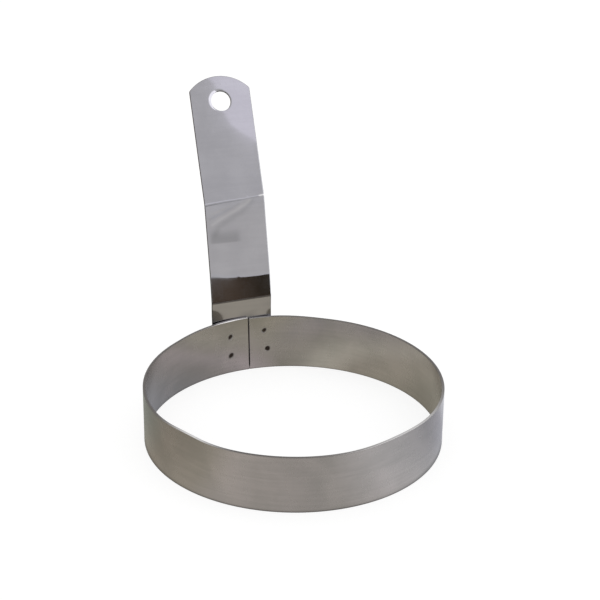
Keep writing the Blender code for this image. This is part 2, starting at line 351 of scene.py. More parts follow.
class Wiring:
    """Short ways to add and join shader nodes in one material or world."""

    def __init__(self, owner: bpy.types.Material | bpy.types.World) -> None:
        """Empties the node tree of a new material or world.

        Args:
            owner: The material or world.
        """
        owner.use_nodes = True
        self.owner = owner
        self.tree = owner.node_tree
        self.tree.nodes.clear()

    def join(self, source: Feed, target: Socket) -> None:
        """Links an output to an input, or sets the input to a number, vector or colour.

        Args:
            source: The output, number, vector or colour.
            target: The input.
        """
        if isinstance(source, Socket):
            self.tree.links.new(source, target)
        elif target.type == "RGBA":
            target.default_value = (*source, 1.0)
        else:
            target.default_value = source

    def add(
        self, kind: str, feeds: dict[str | int, Feed] | None = None, **settings: str
    ) -> bpy.types.Node:
        """Adds a node, sets its properties and feeds its inputs.

        Args:
            kind: Node type.
            feeds: What goes into its inputs, by their names or numbers.
            settings: Properties of the node, by name.

        Returns:
            The node.
        """
        node = self.tree.nodes.new(kind)
        for key, value in settings.items():
            setattr(node, key, value)
        for key, source in (feeds or {}).items():
            self.join(source, node.inputs[key])
        return node

    def mapped(self, vector: Socket, **change: Colour) -> Socket:
        """Moves, turns or stretches a vector.

        Args:
            vector: The vector.
            change: Its Location, Rotation or Scale.

        Returns:
            The changed vector.
        """
        return self.add("ShaderNodeMapping", {"Vector": vector, **change}).outputs["Vector"]

    def sheet_vector(self, along: float, across: float) -> Socket:
        """Place on the sheet, stretched for a texture.

        Args:
            along: Cycles per metre along the strip.
            across: Cycles per metre across it.

        Returns:
            The stretched vector.
        """
        place = self.add("ShaderNodeUVMap", uv_map=SHEET_MAP)
        return self.mapped(place.outputs["UV"], Scale=(along, across, 1.0))

    def noise(
        self,
        vector: Socket,
        detail: float,
        rough: float = 0.5,
        warp: float = 0.0,
        shift: float = 0.0,
    ) -> Socket:
        """Adds a noise of scale 1 over a vector.

        Args:
            vector: Where to read it.
            detail: Octaves.
            rough: Weight of the finer octaves.
            warp: Distortion.
            shift: Slice of the noise, to tell one from another.

        Returns:
            The noise's value, about 0.5.
        """
        feeds = {"Scale": 1.0, "Detail": detail, "Roughness": rough, "Distortion": warp, "W": shift}
        feeds["Vector"] = vector
        return self.add("ShaderNodeTexNoise", feeds, noise_dimensions="4D").outputs["Fac"]

    def ranged(
        self, value: Socket, source: tuple[float, float], target: tuple[float, float] = UNIT
    ) -> Socket:
        """Maps a value from one range to another, held at the ends.

        Args:
            value: The value.
            source: Its low and high end.
            target: What these become.

        Returns:
            The mapped value.
        """
        feeds = dict(zip(("From Min", "From Max", "To Min", "To Max"), source + target))
        feeds["Value"] = value
        return self.add("ShaderNodeMapRange", feeds, interpolation_type="SMOOTHSTEP").outputs["Result"]

    def maths(self, operation: str, first: Socket, second: Feed) -> Socket:
        """Combines two values.

        Args:
            operation: ADD, MULTIPLY and so on.
            first: The first value.
            second: The second value, or a number.

        Returns:
            The result.
        """
        return self.add("ShaderNodeMath", {0: first, 1: second}, operation=operation).outputs["Value"]

    def blend(self, share: Socket, first: Feed, second: Feed, how: str = "MIX") -> Socket:
        """Mixes two colours.

        Args:
            share: How much of the second.
            first: The first colour.
            second: The second colour.
            how: Blend mode.

        Returns:
            The mixed colour.
        """
        mix = self.add("ShaderNodeMix", {"Factor": share}, data_type="RGBA", blend_type=how)
        first_in, second_in = (socket for socket in mix.inputs if socket.type == "RGBA")
        self.join(first, first_in)
        self.join(second, second_in)
        return next(socket for socket in mix.outputs if socket.type == "RGBA")

    def ramp(self, value: Socket, stops: Sequence[Stop]) -> Socket:
        """Turns a value into a colour.

        Args:
            value: The value, from 0 to 1.
            stops: Places and colours, the lowest first.

        Returns:
            The colour.
        """
        node = self.add("ShaderNodeValToRGB", {"Fac": value})
        elements = node.color_ramp.elements
        while len(elements) < len(stops):
            elements.new(0.5)
        for element, (place, colour) in zip(elements, stops):
            element.position = place
            element.color = (*colour, 1.0)
        return node.outputs["Color"]

    def mark(self, mark: Mark) -> Socket:
        """Reads one of the marks that a surface carries."""
        return self.add("ShaderNodeAttribute", attribute_name=mark.value).outputs["Fac"]

    def finish(self, shader: Socket) -> bpy.types.Material | bpy.types.World:
        """Sends a shader to the output and returns what it dresses.

        Args:
            shader: The shader.

        Returns:
            The material or world.
        """
        world = isinstance(self.owner, bpy.types.World)
        self.add("ShaderNodeOutputWorld" if world else "ShaderNodeOutputMaterial", {"Surface": shader})
        return self.owner

    def glow(self, colour: Socket) -> bpy.types.Material:
        """Finishes the material as an even glow of that colour."""
        return self.finish(self.add("ShaderNodeEmission", {"Color": colour}).outputs["Emission"])

    def metal(
        self, colour: Socket, rough: Feed, grain: Socket, depth: float, metallic: float = 1.0
    ) -> bpy.types.Material:
        """Finishes the material as metal with a fine relief.

        Args:
            colour: Its colour.
            rough: Its roughness.
            grain: The relief, from 0 to 1.
            depth: Height of the relief.
            metallic: How far it is bare metal and not crust.

        Returns:
            The material.
        """
        relief = self.add("ShaderNodeBump", {"Strength": 1.0, "Distance": depth, "Height": grain})
        feeds = {"Base Color": colour, "Metallic": metallic, "Roughness": rough}
        feeds["Normal"] = relief.outputs["Normal"]
        return self.finish(self.add("ShaderNodeBsdfPrincipled", feeds).outputs["BSDF"])


@dataclass(frozen=True)
class SheetSteel:
    """Bare rolled stainless sheet.

    Args:
        name: Name of the material.
        bright: Colour of its brighter areas.
        dull: Colour of its duller areas.
        roughness: Lowest and highest roughness.
        cloud: Size of the soft clouds in the rolled surface.
        grain_along: Length of the rolling grain's strokes.
        grain_across: Spacing of the strokes.
        grain_depth: Height of the grain.
        smear: How much the clouds change the roughness.
        stroke_cycles: Cycles of the long strokes to one of the grain, along and across.
        wipe_cycles: Cycles of the wipe marks per metre, along and across.
        cloud_share: Share of the clouds in the tone. The rest is the long strokes'.
        tone_span: Tones at which the sheet is dull and bright.
        heat_tint: Colours of the heat tint, by the heat.
        patchy_heat: How far the wipe marks weaken and strengthen the tint.
        patchy_soot: How far the grain does so with the soot.
        tint_span: Heat from which the tint begins to show, and shows in full.
        soot_span: Soot at which the oxide begins to show, and hides the steel.
        oxide: Colour of the oxide.
        shade_tint: Colour of the painted shade.
        shade_amount: How much of the painted shade shows.
        sheared: Colour of a sheared edge.
        highlight_tone: Colour of the painted highlight, which stands in for glints on the rim and the handle.
        sooty_rough: How much rougher the soot is.
        edge_rough: How much rougher a sheared edge is.
    """

    name: str
    bright: Colour
    dull: Colour
    roughness: tuple[float, float]
    cloud: float
    grain_along: float
    grain_across: float
    grain_depth: float
    smear: float
    stroke_cycles: tuple[float, float] = (0.3, 0.12)
    wipe_cycles: tuple[float, float] = (110.0, 38.0)
    cloud_share: float = 0.7
    tone_span: tuple[float, float] = (0.34, 0.66)
    heat_tint: tuple[Stop, ...] = (
        (0.0, WHITE),
        (0.14, (0.98, 0.92, 0.89)),
        (0.38, (0.86, 0.72, 0.56)),
        (0.62, (0.6, 0.43, 0.34)),
        (1.0, (0.38, 0.28, 0.25)),
    )
    patchy_heat: tuple[float, float] = (0.7, 1.25)
    patchy_soot: tuple[float, float] = (0.85, 1.1)
    tint_span: tuple[float, float] = (0.0, 0.02)
    soot_span: tuple[float, float] = (0.3, 0.75)
    oxide: Colour = (0.022, 0.015, 0.011)
    # Painted shade colour and how much of it shows.
    shade_tint: Colour = (0.18, 0.18, 0.19)
    shade_amount: float = 0.28
    sheared: Colour = (0.115, 0.105, 0.1)
    # Painted highlight colour, standing in for glints.
    highlight_tone: Colour = (0.66, 0.65, 0.65)
    sooty_rough: float = 0.25
    edge_rough: float = 0.08

    def material(self) -> bpy.types.Material:
        """Wires the finish: clouds, grain, wipe marks, heat tint, dark sheared edges, painted shade and
        painted highlights.

        Returns:
            The material.
        """
        wire = Wiring(bpy.data.materials.new(self.name))
        broad = wire.sheet_vector(1 / self.cloud, 1 / self.cloud)
        clouds = wire.noise(broad, detail=3.0, rough=0.55, warp=0.6)
        fine = wire.sheet_vector(1 / self.grain_along, 1 / self.grain_across)
        grain = wire.noise(fine, detail=4.0, rough=0.6, shift=3.0)
        along, across = self.stroke_cycles
        long = wire.sheet_vector(along / self.grain_along, across / self.grain_across)
        strokes = wire.noise(long, detail=2.0, shift=7.0)
        wiped = wire.sheet_vector(*self.wipe_cycles)
        wipes = wire.noise(wiped, detail=4.0, rough=0.6, warp=1.4, shift=11.0)
        speckled = wire.ranged(grain, NOISE_SPAN, self.patchy_soot)
        scorch = wire.maths("MULTIPLY", wire.mark(Mark.SCORCH), speckled)

        clouds_part = wire.maths("MULTIPLY", clouds, self.cloud_share)
        strokes_part = wire.maths("MULTIPLY", strokes, 1.0 - self.cloud_share)
        tone = wire.maths("ADD", clouds_part, strokes_part)
        colour = self.colour(wire, tone, wipes, scorch)
        rough = wire.ranged(wipes, NOISE_SPAN, self.roughness)
        for part, share in (
            (wire.ranged(clouds, NOISE_SPAN, (-0.5, 0.5)), self.smear),
            (scorch, self.sooty_rough),
            (wire.mark(Mark.EDGE), self.edge_rough),
        ):
            rough = wire.maths("ADD", rough, wire.maths("MULTIPLY", part, share))
        return wire.metal(colour, rough, grain, self.grain_depth)

    def colour(self, wire: Wiring, tone: Socket, wipes: Socket, scorch: Socket) -> Socket:
        """Colours the sheet, from its own tone to what lies over it.

        Args:
            wire: Wiring of the material.
            tone: Where the sheet is dull and where bright.
            wipes: The wipe marks, which break up the tint.
            scorch: The soot.

        Returns:
            The colour.
        """
        colour = wire.blend(wire.ranged(tone, self.tone_span), self.dull, self.bright)
        heat = wire.mark(Mark.HEAT)
        patchy = wire.maths("MULTIPLY", heat, wire.ranged(wipes, NOISE_SPAN, self.patchy_heat))
        tint = wire.ramp(patchy, self.heat_tint)
        colour = wire.blend(wire.ranged(heat, self.tint_span), colour, tint, "MULTIPLY")
        for share, over in (
            (wire.ranged(scorch, self.soot_span), self.oxide),
            # Painted shade, darkening the handle's lower leaf and fan where reflections turn dark.
            (wire.maths("MULTIPLY", wire.mark(Mark.PAINTED_SHADE), self.shade_amount), self.shade_tint),
            (wire.mark(Mark.EDGE), self.sheared),
            # Painted highlight: a light colour where glints fall on the rim and the handle.
            (wire.mark(Mark.PAINTED_HIGHLIGHT), self.highlight_tone),
        ):
            colour = wire.blend(share, colour, over)
        return colour


@dataclass(frozen=True)
class WeldOxide:
    """Dark crusted metal at the bottom of a weld's pit.

    Args:
        name: Name of the material.
        crust: Colour of the crust.
        metal: Colour of the metal that shows through.
        bare_span: Values of the specks at which metal begins to show, and shows bare.
        speckle: Size of its specks.
        depth: Height of its specks.
        roughness: How rough it is.
        metallic: How far it is bare metal.
    """

    name: str = "weld_oxide"
    crust: Colour = (0.018, 0.012, 0.009)
    metal: Colour = (0.085, 0.054, 0.037)
    bare_span: tuple[float, float] = (0.45, 0.7)
    speckle: float = 0.35 * MM
    depth: float = 0.08 * MM
    roughness: float = 0.55
    metallic: float = 0.7

    def material(self) -> bpy.types.Material:
        """Wires the finish: specks of metal in a rough brown crust.

        Returns:
            The material.
        """
        wire = Wiring(bpy.data.materials.new(self.name))
        place = wire.add("ShaderNodeTexCoord").outputs["Object"]
        small = wire.mapped(place, Scale=(1 / self.speckle,) * 3)
        specks = wire.noise(small, detail=4.0, rough=0.65, warp=0.3)
        colour = wire.blend(wire.ranged(specks, self.bare_span), self.crust, self.metal)
        return wire.metal(colour, self.roughness, specks, self.depth, self.metallic)


SATIN_STEEL = SheetSteel(
    name="band_steel_satin",
    bright=(0.425, 0.405, 0.385),
    dull=(0.355, 0.345, 0.325),
    roughness=(0.22, 0.29),
    cloud=21.0 * MM,
    grain_along=9.0 * MM,
    grain_across=0.16 * MM,
    grain_depth=0.0016 * MM,
    smear=0.05,
)

BRIGHT_STEEL = SheetSteel(
    name="handle_steel_bright",
    bright=(0.365, 0.36, 0.385),
    dull=(0.335, 0.33, 0.355),
    roughness=(0.05, 0.08),
    cloud=16.0 * MM,
    grain_along=6.0 * MM,
    grain_across=0.2 * MM,
    grain_depth=0.0006 * MM,
    smear=0.02,
)


@dataclass
class RingBand:
    """The band: one strip rolled to a ring, its ends butted at a narrow seam.

    Args:
        inner_radius: Radius inside.
        thickness: Gauge of the sheet.
        height: Width of the strip.
        seam_gap: Gap between the ends.
        hairline: Half the gap that is left where they touch.
        seam_touch: Heights up to which they touch, and from which they stand apart.
        seam_bend: Length of each end that bends in to the other.
        seam_right: How far the seam lies right of +Y.
        seam_rise: How much higher the strip's left end stands at the seam.
        rise_length: Length of strip over which it comes up.
        corner: Radius of the ends' corners.
        edge: Radius of the sheared edges.
        worn: Radius of the rim's worn inner edge, left of the seam.
        lean: How far the rim's burr leans out to the handle.
        tab_side: Arc from the tab's middle at which the lean begins to end, and ends.
        pinches: Where the rim leans in at the front: bearing and width in degrees, and how far.
        pit_depth: Depth of the weld pits.
        pit_wall: Foot and top of a pit's wall, in pit sizes.
        lip: Height of the lip pushed up round a pit.
        lip_ring: Middle and width of the lip, in pit sizes.
        outer_heat: How much of the heat tint shows anywhere but on the inner face.
        foot_burr: How far up from the foot the sheet is dark from the shear.
        rim_burr: How far down from the rim it is.
        tab_burr: How much of the rim's dark edge the handle hides.
        painted_glints: Where a painted highlight lies along the rim, standing in for glints: bearing and
            width in degrees, and strength.
        glint_side: Shares of the thickness at which the painted highlight by the tab begins to end, and ends.
        edge_zone: Width along the edges that gets a fine grid.
        weld_zone: Length at each end of the strip that gets a fine grid.
        weld_heights: Heights between which the inner face has a fine grid.
        fine: Spacing of the fine grid at the welds.
        coarse: Spacing of the grid elsewhere: inside, outside and along the strip.
    """

    inner_radius: float = 63.5 * MM
    thickness: float = 1.16 * MM
    height: float = 25.4 * MM
    seam_gap: float = 0.5 * MM
    hairline: float = 0.03 * MM
    seam_touch: tuple[float, float] = (1.0 * MM, 2.6 * MM)
    seam_bend: float = 4.0 * MM
    seam_right: float = 1.0 * MM
    seam_rise: float = 0.7 * MM
    rise_length: float = 24.0 * MM
    corner: float = 0.35 * MM
    edge: float = 0.2 * MM
    worn: float = 0.62 * MM
    lean: float = 0.2 * MM
    tab_side: tuple[float, float] = (12.2 * MM, 13.6 * MM)
    pinches: tuple[tuple[float, float, float], ...] = ((-153.5, 10.8, 1.4 * MM), (-67.0, 16.8, 1.5 * MM))
    pit_depth: float = 0.42 * MM
    pit_wall: tuple[float, float] = (0.55, 1.12)
    lip: float = 0.03 * MM
    lip_ring: tuple[float, float] = (1.3, 0.22)
    outer_heat: float = 0.35
    foot_burr: float = 0.5 * MM
    rim_burr: float = 0.28 * MM
    tab_burr: float = 0.75
    # Painted highlights along the rim, standing in for glints.
    painted_glints: tuple[tuple[float, float, float], ...] = ((-150.0, 11.0, 1.0), (-60.0, 26.0, 0.7), (97.0, 5.5, 0.7))
    glint_side: tuple[float, float] = (0.1, 0.4)
    edge_zone: float = 1.0 * MM
    weld_zone: float = 12.0 * MM
    weld_heights: tuple[float, float] = (6.5 * MM, 21.5 * MM)
    fine: float = 0.22 * MM
    coarse: tuple[float, float, float] = (0.9 * MM, 1.5 * MM, 1.3 * MM)

    @property
    def middle_radius(self) -> float:
        """Radius of the middle of the sheet."""
        return self.inner_radius + self.thickness / 2

    @property
    def length(self) -> float:
        """Length of the strip along its middle."""
        return math.tau * self.middle_radius - self.seam_gap

    def strip_stations(self) -> Array:
        """Places along the strip: close together at the ends and the welds.

        Returns:
            The places, rising.
        """
        ends = (0.0, self.edge, self.edge_zone, self.weld_zone)
        half = spaced(ends, (self.edge / 4, self.edge / 2, self.fine))
        middle = spaced((self.weld_zone, self.length - self.weld_zone), self.coarse[2:])
        return np.concatenate((half[:-1], middle, (self.length - half[::-1])[1:]))

    def section(self) -> tuple[Array, Array]:
        """Section through the sheet: up the inner face, over the rim and down outside.

        Returns:
            Depth from the inner face and height of each point, closed end to start.
        """
        edge, top, depth = self.edge, self.height, self.thickness
        below, above = (edge, self.edge_zone), (top - self.edge_zone, top - edge)
        inside, outside, _ = self.coarse
        inner = spaced((*below, *self.weld_heights, *above), (edge, inside, self.fine, inside, edge))
        outer = spaced((*below, *above), (edge, outside, edge))
        turn = np.linspace(0.0, math.pi / 2, 6)[1:-1]
        rise, run = edge * np.sin(turn), edge * (1 - np.cos(turn))
        across = np.array((edge, depth / 2, depth - edge))
        depths = (
            np.zeros_like(inner),
            run,
            across,
            depth - run[::-1],
            np.full_like(outer, depth),
            depth - run,
            across[::-1],
            run[::-1],
        )
        heights = (
            inner,
            top - edge + rise,
            np.full(3, top),
            top - edge + rise[::-1],
            outer[::-1],
            edge - rise,
            np.zeros(3),
            edge - rise[::-1],
        )
        return np.concatenate(depths), np.concatenate(heights)

    def near_rim(self, height: Array) -> Array:
        """1 at the rim and 0 below the narrow zone along it."""
        return smooth_step(self.height - self.edge_zone, self.height - self.edge, height)

    def carried(self, along: Array, depth: Array, height: Array) -> tuple[Array, Array]:
        """Carries the section along the strip.

        Near an end it shrinks, in height along the corner's arc and in thickness along
        the edge's arc. The left end stands higher, and its inner rim edge is worn round.

        Args:
            along: Places along the strip.
            depth: Depth of the section's points.
            height: Height of the section's points.

        Returns:
            Depth and height of each point, section by strip.
        """
        to_end = np.minimum(along, self.length - along)
        trim = fall(self.corner, np.clip(self.corner - to_end, 0.0, self.corner))
        thin = fall(self.edge, np.clip(self.edge - to_end, 0.0, self.edge))
        heights = trim + np.outer(height / self.height, self.height - 2 * trim)
        depths = thin + np.outer(depth / self.thickness, self.thickness - 2 * thin)
        left_end = 1.0 - smooth_step(0.0, self.rise_length, along)
        rounded = fall(self.worn, np.clip(self.thickness / 2 - depth, 0.0, None))
        heights = heights + self.seam_rise * left_end * (height / self.height)[:, None]
        return depths, heights - left_end * (rounded * self.near_rim(height))[:, None]

    def bearings(self, along: Array, heights: Array) -> Array:
        """Angle round the axis from +X of each point of the strip, which runs leftwards.

        Its two ends are bent in to each other at the foot, where they touch.

        Args:
            along: Places along the strip.
            heights: Height of each point.

        Returns:
            The angle of each point.
        """
        start = math.pi / 2 + (self.seam_gap / 2 - self.seam_right) / self.middle_radius
        to_end = np.minimum(along, self.length - along)
        closing = (self.seam_gap / 2 - self.hairline) * (1.0 - smooth_step(*self.seam_touch, heights))
        by_end = 1.0 - smooth_step(0.0, self.seam_bend, to_end)
        side = np.where(along < self.length / 2, -1.0, 1.0)
        return start + along / self.middle_radius + side * by_end * closing / self.middle_radius

    def pit(self, spot: WeldSpot, right: Array, heights: Array) -> Array:
        """How far a weld has sunk the inner face, less the low lip round its pit.

        Args:
            spot: The weld.
            right: Arc of each point along the inner face, to the right of +Y.
            heights: Height of each point.

        Returns:
            The depth at each point.
        """
        arc = right - spot.across * self.inner_radius / FLARE.radius
        reach = spot.reach(arc, heights - spot.height)
        middle, width = self.lip_ring
        sunk = self.pit_depth * (1 - smooth_step(*self.pit_wall, reach))
        return sunk - self.lip * bell(reach - middle, width)

    def moved_out(self, angle: Array, depth: Array, height: Array, by_tab: Array) -> Array:
        """How far the rim's burr leans out to the tab, less how far the front is pinched in.

        Args:
            angle: Angle of each point from +X.
            depth: Depth of the section's points.
            height: Height of the section's points.
            by_tab: 1 where the tab stands behind a point.

        Returns:
            The outward move of each point.
        """
        on_arc = np.clip((height - self.height) / self.edge + 1.0, 0.0, 1.0)
        filled = self.edge * fall(1.0, on_arc) + self.lean * self.near_rim(height)
        out = by_tab * (filled * depth / self.thickness)[:, None]
        for middle, width, pinch in self.pinches:
            pinched = bell(np.degrees(wrapped(angle)) - middle, width)
            out = out - pinch * pinched * (height / self.height)[:, None]
        return out

    def marks(
        self, angle: Array, right: Array, heights: Array, depth: Array, height: Array, by_tab: Array
    ) -> dict[Mark, Array]:
        """Marks the heat round the welds, the dark sheared edges and the painted highlights along the rim.

        Args:
            angle: Angle of each point from +X.
            right: Arc of each point to the right of +Y.
            heights: Height of each point.
            depth: Depth of the section's points.
            height: Height of the section's points.
            by_tab: 1 where the tab stands behind a point.

        Returns:
            The strength of each mark at each point.
        """
        inner_face = (depth == 0.0)[:, None]
        heat, scorch = HEAT.marks(right, heights)
        to_edge = np.minimum(height / self.foot_burr, (self.height - height) / self.rim_burr)
        bare = 1.0 - smooth_step(0.0, 1.0, to_edge)[:, None]
        # Painted highlight on the rim's upper edges, where glints fall at these bearings.
        painted_glints = (share * bell(np.degrees(wrapped(angle)) - at, width) for at, width, share in self.painted_glints)
        shine = np.where(heights > self.height / 2, np.clip(sum(painted_glints), 0.0, 1.0), 0.0) * bare
        shine *= 1.0 - by_tab * smooth_step(*self.glint_side, depth / self.thickness)[:, None]
        marks = {
            Mark.HEAT: heat * np.where(inner_face, 1.0, self.outer_heat),
            Mark.SCORCH: np.where(inner_face, scorch, 0.0),
            Mark.EDGE: bare * (1.0 - self.tab_burr * by_tab * (height > self.height / 2)[:, None]),
            Mark.PAINTED_HIGHLIGHT: shine,
        }
        return {mark: values.ravel() for mark, values in marks.items()}

    def surface(self) -> Surface:
        """Sweeps the section along the strip, r = inner radius + depth, closed at both ends.

        The inner face is pushed in at each weld, and the wall leans out behind the seam.

        Returns:
            The band's surface.
        """
        along = self.strip_stations()
        depth, height = self.section()
        depths, heights = self.carried(along, depth, height)
        angle = self.bearings(along, heights)
        right = wrapped(math.pi / 2 - angle) * self.inner_radius
        for spot in WELD_SPOTS:
            depths = depths + np.where((depth == 0.0)[:, None], self.pit(spot, right, heights), 0.0)
        by_tab = 1.0 - smooth_step(*self.tab_side, np.abs(right - FLARE.middle))
        radius = self.inner_radius + depths + FLARE.reach(math.pi / 2 - angle, heights)
        radius = radius + self.moved_out(angle, depth, height, by_tab)
        points = np.stack((radius * np.cos(angle), radius * np.sin(angle) + AXIS_Y, heights), axis=-1)

        rows, columns = heights.shape
        index = numbered(rows, columns)
        travelled = np.hypot(np.diff(depth, append=depth[:1]), np.diff(height, append=height[:1]))
        around = np.concatenate(((0.0,), np.cumsum(travelled)))
        sheet = np.stack(np.meshgrid(along, around), axis=-1).reshape(-1, 2)
        quads = grid_quads(np.vstack((index, index[:1])))
        quad_map = sheet[grid_quads(numbered(rows + 1, columns))]
        caps = [index[::-1, 0].tolist(), index[:, -1].tolist()]
        marks = self.marks(angle, right, heights, depth, height, by_tab)
        return Surface(points.reshape(-1, 3), quads, quad_map, caps, marks)


@dataclass(frozen=True)
class Bend:
    """One bend line across the handle, which may open out towards one edge.

    Args:
        height: Where it crosses the handle's middle, up from the band's rim.
        angle: How far it turns, in degrees.
        radius: How tightly it is folded.
        skew: Slant of the line, in degrees, up to the right.
        left_radius: How round the sheet has sprung back at the left edge.
        right_radius: The same at the right edge.
        drift: How far the real line wanders below the straight one, by places across.
        settle: How far above the line its wandering begins to settle, and has settled.
    """

    height: float
    angle: float
    radius: float
    skew: float
    left_radius: float
    right_radius: float
    drift: tuple[tuple[float, float], ...] = ((0.0, 0.0),)
    settle: tuple[float, float] = (2.0 * MM, 25.0 * MM)

    def fold(self, points: Array) -> Array:
        """Tips all that lies beyond the line, and rolls the sheet round an arc along it.

        Args:
            points: Points as (across, back, up).

        Returns:
            The folded points.
        """
        skew = math.radians(self.skew)
        along = np.array((math.cos(skew), 0.0, math.sin(skew)))
        across = np.array((-math.sin(skew), 0.0, math.cos(skew)))
        foot = np.array((0.0, 0.0, self.height))
        length = self.radius * math.radians(self.angle)
        offset = points - foot
        distance = offset @ across + length / 2
        rolled = np.clip(distance, 0.0, length)
        turn = rolled / self.radius
        rest = distance - rolled
        rise = self.radius * np.sin(turn) + rest * np.cos(turn) - offset[:, 1] * np.sin(turn) - length / 2
        folded = foot + np.outer(offset @ along, along) + np.outer(rise, across)
        folded[:, 1] = (
            self.radius * (1 - np.cos(turn)) + rest * np.sin(turn) + offset[:, 1] * np.cos(turn)
        )
        return folded

    def behind_corner(self, beside: Array, radius: Array | float) -> Array:
        """How far a round bend lies behind a sharp one: x² / 2R + Rθ² / 8, or xθ / 2 beyond it.

        Args:
            beside: Distance x from the bend's line.
            radius: Radius R of the round bend.

        Returns:
            The depth at each distance.
        """
        angle = math.radians(self.angle)
        rounded = beside**2 / (2 * radius) + radius * angle**2 / 8
        return np.where(beside < radius * angle / 2, rounded, angle * beside / 2)

    def slack(self, plan: Array, half_width: float) -> Array:
        """How far the sprung bend lies behind the tight one.

        Args:
            plan: Places (t, s) on the blank.
            half_width: From the blank's middle to its edges.

        Returns:
            The depth at each place.
        """
        above = turned(plan[:, 0], plan[:, 1] - self.height, math.radians(self.skew))[1]
        share = np.clip(0.5 + plan[:, 0] / (2 * half_width), 0.0, 1.0)
        radius = self.left_radius + share * (self.right_radius - self.left_radius)
        drop = np.interp(plan[:, 0] / MM, *zip(*self.drift)) * MM
        sprung = self.behind_corner(np.abs(above + drop), radius)
        tight = self.behind_corner(np.abs(above), self.radius)
        lasting = 0.5 - smooth_step(*self.settle, above)
        return sprung - tight + math.radians(self.angle) * drop * lasting


@dataclass(frozen=True)
class Stroke:
    """A mark along a line on the handle's front.

    Args:
        path: Corners of the line (t, s), in millimetres.
        width: How wide it is, in millimetres.
        strength: How strong it is.
    """

    path: tuple[tuple[float, float], ...]
    width: float
    strength: float

    def over(self, plan: Array) -> Array:
        """Strength of the mark at places of the blank.

        Args:
            plan: Places (t, s), in metres.

        Returns:
            The strength, full on the line and fading beside it.
        """
        places = plan / MM
        nearest = np.full(len(places), np.inf)
        for start, end in zip(self.path[:-1], self.path[1:]):
            line = np.subtract(end, start)
            share = np.clip((places - start) @ line / (line @ line), 0.0, 1.0)
            foot = start + share[:, None] * line
            nearest = np.minimum(nearest, np.linalg.norm(places - foot, axis=1))
        return self.strength * bell(nearest, self.width)


# Places across the handle, and how far a bend's line runs below the straight one there, in mm.
SHIN_DRIFT = (
    (-14.0, 0.15),
    (-11.6, 0.25),
    (-7.0, 0.8),
    (-2.0, 0.8),
    (-1.1, 0.25),
    (-0.2, 0.8),
    (4.4, 0.7),
    (9.1, 0.4),
    (12.1, 0.0),
)
CREASE_DRIFT = ((-13.0, -0.6), (-9.0, -0.45), (-5.0, -0.4), (0.0, -0.15), (5.0, 0.1), (12.0, 0.4))

# Line by the hole beyond which the leaf is bent back: height and place across, in mm.
SPRUNG_LINE = (
    (74.0, 30.0),
    (82.0, 14.3),
    (87.4, 6.9),
    (91.1, 2.9),
    (96.5, 0.6),
    (108.5, -2.2),
    (111.0, -3.0),
    (114.0, -7.0),
)

# Soft ridges below the crease, painted shade by them, and painted highlight lines that stand in for glints.
FAN_RIDGES = (
    Stroke(((-10.4, 47.4), (-2.0, 51.4), (6.0, 55.8)), 1.1, 0.03),
    Stroke(((-9.8, 51.0), (1.0, 54.5)), 1.1, 0.02),
)
SHADE_STROKES = (
    Stroke(((8.0, 54.0), (2.5, 49.4), (-2.6, 47.0), (-8.4, 43.9), (-10.5, 40.5)), 1.5, 0.9),
    Stroke(((1.8, 53.4), (-12.6, 47.5)), 0.7, 0.6),
    Stroke(((-13.8, 53.8), (-9.0, 54.5)), 0.3, 1.5),
    Stroke(((-8.5, 54.6), (3.0, 55.5)), 0.25, 0.6),
)
HIGHLIGHT_STROKES = (
    Stroke(((7.4, 54.9), (5.3, 53.2), (1.5, 51.2), (-5.9, 47.9), (-11.4, 45.0)), 0.75, 0.13),
    Stroke(((12.2, 56.5), (14.2, 56.7)), 0.45, 0.9),
)


